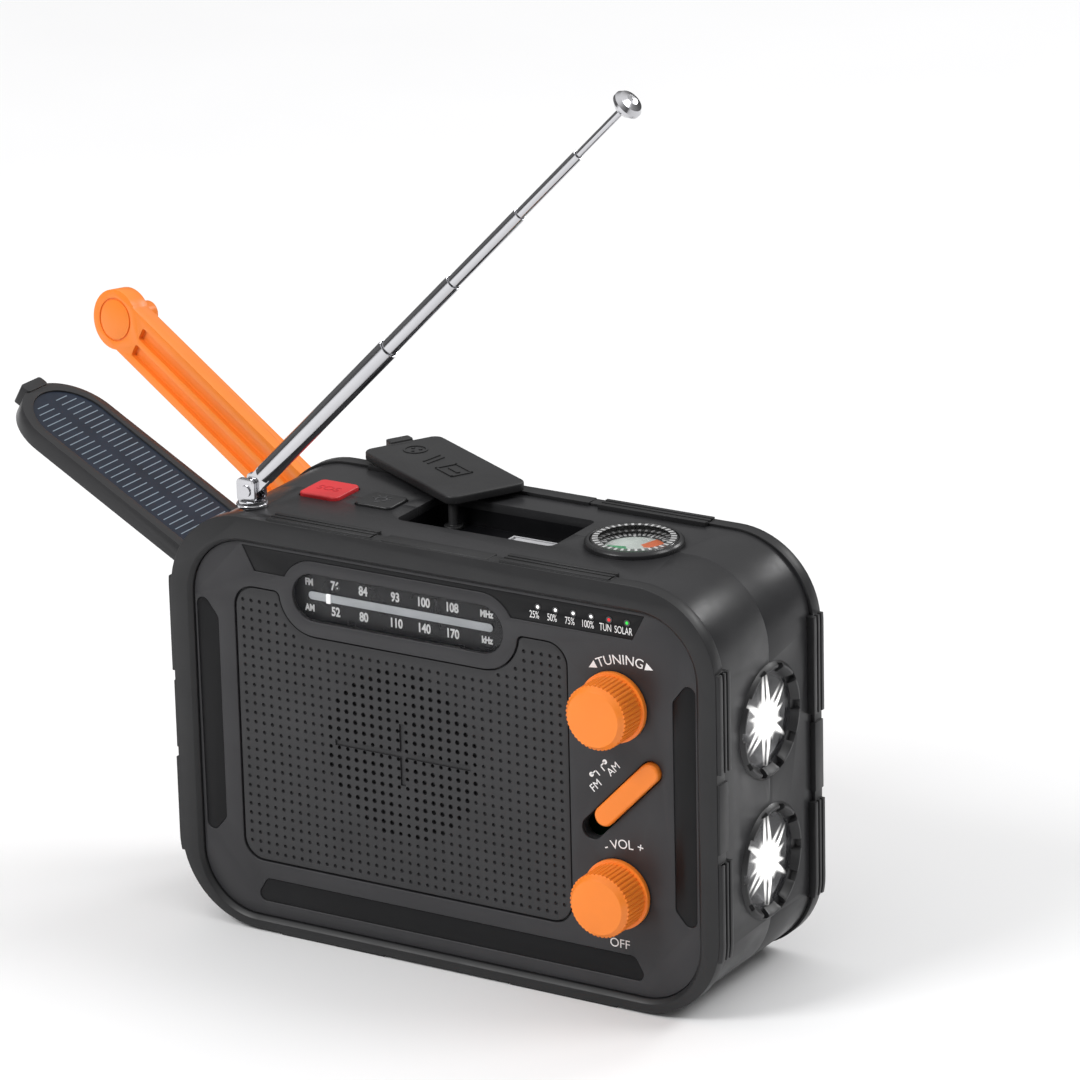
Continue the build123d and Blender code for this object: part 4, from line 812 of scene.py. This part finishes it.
def build_cover_signs(work):
    """Raised signs on the port cover: a ring, a plug's outline and a slash between them."""
    place = on_top(TETHER.x, TETHER.y, high("port_cover").z - 0.85 * MM, COVER_TURN)
    high_by = 0.3 * MM
    ring = Vector((30 * MM, -6.5 * MM, 0))
    ring_into(work, 3.0 * MM, 2.5 * MM, high_by, place @ Matrix.Translation(ring))
    for k in range(3):
        angle = 2 * pi * k / 3
        spot = place @ (ring + Vector((1.2 * MM * cos(angle), 1.2 * MM * sin(angle), high_by / 2)))
        box_into(work, spot, (0.7 * MM, 0.7 * MM, high_by), Matrix.Rotation(angle, 4, "Z"))
    turn = Matrix.Rotation(COVER_TURN, 4, "Z")
    for x in (20.0, 22.0):
        spot = place @ Vector((x * MM, -6.5 * MM, high_by / 2))
        box_into(work, spot, (0.5 * MM, 6.0 * MM, high_by), turn @ Matrix.Rotation(0.35, 4, "Z"))
    for x, y, w, d in ((11, -9.2, 8, 0.5), (11, -3.8, 8, 0.5), (7.2, -6.5, 0.5, 5.9),
                       (14.8, -6.5, 0.5, 5.9), (11, -6.5, 4.5, 0.9)):
        box_into(work, place @ Vector((x * MM, y * MM, high_by / 2)), (w * MM, d * MM, high_by), turn)


cover_signs = add_mesh("port_cover_signs", build_cover_signs, cover_mat, "port_cover")


def build_tongues(work):
    """Dark insulators round the contacts of both sockets."""
    y = middle("usb_sockets").y
    right = high("usb_sockets").x - 7.2 * MM
    left = low("usb_sockets").x + 4.7 * MM
    box_into(work, (right, y + 1.3 * MM, 96.6 * MM), (12.0 * MM, 2.3 * MM, 6.4 * MM))
    box_into(work, (left, y, 95.6 * MM), (7.0 * MM, 1.0 * MM, 5.6 * MM))
    box_into(work, (right, y, 90.4 * MM), (13.3 * MM, 5.5 * MM, 2.0 * MM))


tongues = rounded(add_mesh("socket_insulators", build_tongues, socket_black_mat), 0.1 * MM)

# ---------------------------------------------------------------- compass


TICKS = 48
TICK_OUTER, TICK_INNER, LONG_TICK_INNER = 9.7 * MM, 8.1 * MM, 7.4 * MM


def build_ticks(work):
    """Ticks round the card, each fourth one longer, and the four letters."""
    top = high("compass_card").z
    for k in range(TICKS):
        angle = 2 * pi * k / TICKS
        inner = TICK_INNER if k % 4 else LONG_TICK_INNER
        centre = (inner + TICK_OUTER) / 2
        spot = Vector((COMPASS.x + centre * cos(angle), COMPASS.y + centre * sin(angle),
                       top + 0.05 * MM))
        box_into(work, spot, (TICK_OUTER - inner, 0.62 * MM, 0.1 * MM), Matrix.Rotation(angle, 4, "Z"))
    for k, letter in enumerate("ENWS"):
        angle = pi / 2 * k
        place = on_top(COMPASS.x + 5.9 * MM * cos(angle), COMPASS.y + 5.9 * MM * sin(angle),
                       top + 0.06 * MM, angle - pi / 2)
        text_into(work, letter, 2.4 * MM, place)


ticks = add_mesh("compass_marks", build_ticks, print_mat, "compass_card")


def card_disc(outer, inner, start, end):
    def build(work):
        place = Matrix.Translation((COMPASS.x, COMPASS.y, high("compass_card").z))
        ring_into(work, outer * MM, inner * MM, 0.04 * MM, place, radians(start), radians(end))
    return build


for name, outer, inner, start, end, material in (
        ("compass_ring", 9.85, 7.2, 0, 360, surface("compass_ring", (0.07, 0.075, 0.075), 0.4)),
        ("compass_green_south", 7.2, 2.0, 195, 345, green_mat),
        ("compass_red_north", 7.2, 2.0, 20, 75, north_mat)):
    disc = add_mesh(name, card_disc(outer, inner, start, end), material, "compass_card")

# ---------------------------------------------------------------- solar lid


LID_OUT = Vector((-cos(LID_UP), 0, sin(LID_UP)))
LID_NORMAL = Vector((sin(LID_UP), 0, cos(LID_UP)))
CELL_START, CELL_END, CELL_HALF = 6.5, 64.6, 10.2
CELL_LIFT = 1.87
BUS_HALF = 1.6
FINGER_PITCH = 1.9


def on_lid(along, across, lift):
    """Point on the lid: distances from the hinge, across it and above the middle of its thickness."""
    return LID_HINGE + LID_OUT * along + Vector((0, across, 0)) + LID_NORMAL * lift


def half_width(along):
    """Half the cell's printed width at this distance from the hinge, in millimetres."""
    beyond = along - (CELL_END + 0.6 - CELL_HALF)
    return CELL_HALF if beyond < 0 else max(0.0, CELL_HALF ** 2 - beyond ** 2) ** 0.5


def build_fingers(work):
    """Thin contact lines on both sides of the bare strip down the cell's middle."""
    turn = Matrix((LID_OUT, LID_NORMAL.cross(LID_OUT), LID_NORMAL)).transposed().to_4x4()
    along = CELL_START + 1.0
    while along < CELL_END - 1.5:
        reach = half_width(along) - 0.8
        for side in (-1, 1):
            width = reach - BUS_HALF
            if width > 1.0:
                spot = on_lid(along * MM, side * (BUS_HALF + width / 2) * MM, CELL_LIFT * MM)
                box_into(work, spot, (0.26 * MM, width * MM, 0.05 * MM), turn)
        along += FINGER_PITCH


fingers = add_mesh("solar_cell_fingers", build_fingers, finger_mat, "solar_lid")

# ---------------------------------------------------------------- feet


FOOT_R, FOOT_HALF, FOOT_HIGH = 4.25 * MM, 6.0 * MM, 0.5 * MM


def build_feet(work):
    """Two soft oblong feet let into the underside."""
    place = Matrix.Translation((0, 0, low("front_shell").z - FOOT_HIGH))
    for x in (-40.0 * MM, 42.0 * MM):
        points = []
        for centre, start in ((TORCH_Y + FOOT_HALF, 0.0), (TORCH_Y - FOOT_HALF, pi)):
            points += [(x + FOOT_R * cos(start + pi * n / 12), centre + FOOT_R * sin(start + pi * n / 12))
                       for n in range(13)]
        prism_into(work, points, FOOT_HIGH, place)


feet = rounded(add_mesh("underside_feet", build_feet, bumper_mat), 0.2 * MM)

# ---------------------------------------------------------------- camera, floor and light

FOCAL = 196.93
AZIMUTH, ELEVATION, ROLL = radians(31.541), radians(18.975), radians(-1.376)
OFFSET = Vector((10.452, 44.305, 1395.3)) * MM
TARGET = Vector((0, 0, 53)) * MM


def add_camera():
    back = Vector((sin(AZIMUTH) * cos(ELEVATION), -cos(AZIMUTH) * cos(ELEVATION), sin(ELEVATION)))
    right = Vector((cos(AZIMUTH), sin(AZIMUTH), 0))
    up = back.cross(right)
    level = Matrix((right, up, back))
    turn = Matrix(((cos(ROLL), sin(ROLL), 0), (-sin(ROLL), cos(ROLL), 0), (0, 0, 1))) @ level
    data = bpy.data.cameras.new("camera")
    data.lens = FOCAL
    data.sensor_width = 36.0
    data.clip_start, data.clip_end = 0.05, 30.0
    camera = bpy.data.objects.new("camera", data)
    place = turn.transposed().to_4x4()
    place.translation = TARGET + turn.transposed() @ OFFSET
    camera.matrix_world = place
    bpy.context.collection.objects.link(camera)
    bpy.context.scene.camera = camera


def add_light(name, place, size, power):
    """A softbox aimed at the radio's lower middle."""
    data = bpy.data.lights.new(name, "AREA")
    data.shape = "RECTANGLE"
    data.size, data.size_y = size
    data.energy = power
    light = bpy.data.objects.new(name, data)
    light.location = place
    light.rotation_euler = (Vector((0, 0, 0.05)) - Vector(place)).to_track_quat("-Z", "Y").to_euler()
    bpy.context.collection.objects.link(light)


def add_sun(name, direction, strength, angle):
    """Even light over the whole floor, with soft shadows."""
    data = bpy.data.lights.new(name, "SUN")
    data.energy = strength
    data.angle = radians(angle)
    light = bpy.data.objects.new(name, data)
    light.rotation_euler = (-Vector(direction)).to_track_quat("-Z", "Y").to_euler()
    bpy.context.collection.objects.link(light)


def add_world():
    """A studio that is bright overhead, dimmer at the sides and dark in front."""
    world = bpy.data.worlds.new("studio")
    bpy.context.scene.world = world
    world.use_nodes = True
    tree = world.node_tree
    background = tree.nodes["Background"]
    coordinates = tree.nodes.new("ShaderNodeTexCoord")
    split = tree.nodes.new("ShaderNodeSeparateXYZ")
    tree.links.new(coordinates.outputs["Generated"], split.inputs["Vector"])
    sky = ramp(tree, split.outputs["Z"], [(0.0, (0.06, 0.06, 0.06)), (0.45, (0.34, 0.34, 0.34)),
                                          (0.9, (1.0, 1.0, 1.0))])
    tree.links.new(sky, background.inputs["Color"])
    background.inputs["Strength"].default_value = 1.12


def add_floor():
    mesh = bpy.data.meshes.new("floor")
    work = bmesh.new()
    bmesh.ops.create_grid(work, x_segments=8, y_segments=8, size=4.0)
    work.to_mesh(mesh)
    work.free()
    mesh.materials.append(floor_mat)
    floor = bpy.data.objects.new("floor", mesh)
    bpy.context.collection.objects.link(floor)


add_floor()
add_camera()
add_world()
add_sun("sun", (0.75, 0.45, 1.0), 0.72, 20)
add_light("key", (-0.55, -1.1, 1.1), (0.5, 0.5), 12.0)
add_light("corner", (0.62, 1.45, 0.95), (0.45, 0.25), 5.0)

bpy.context.scene.view_settings.view_transform = "Standard"
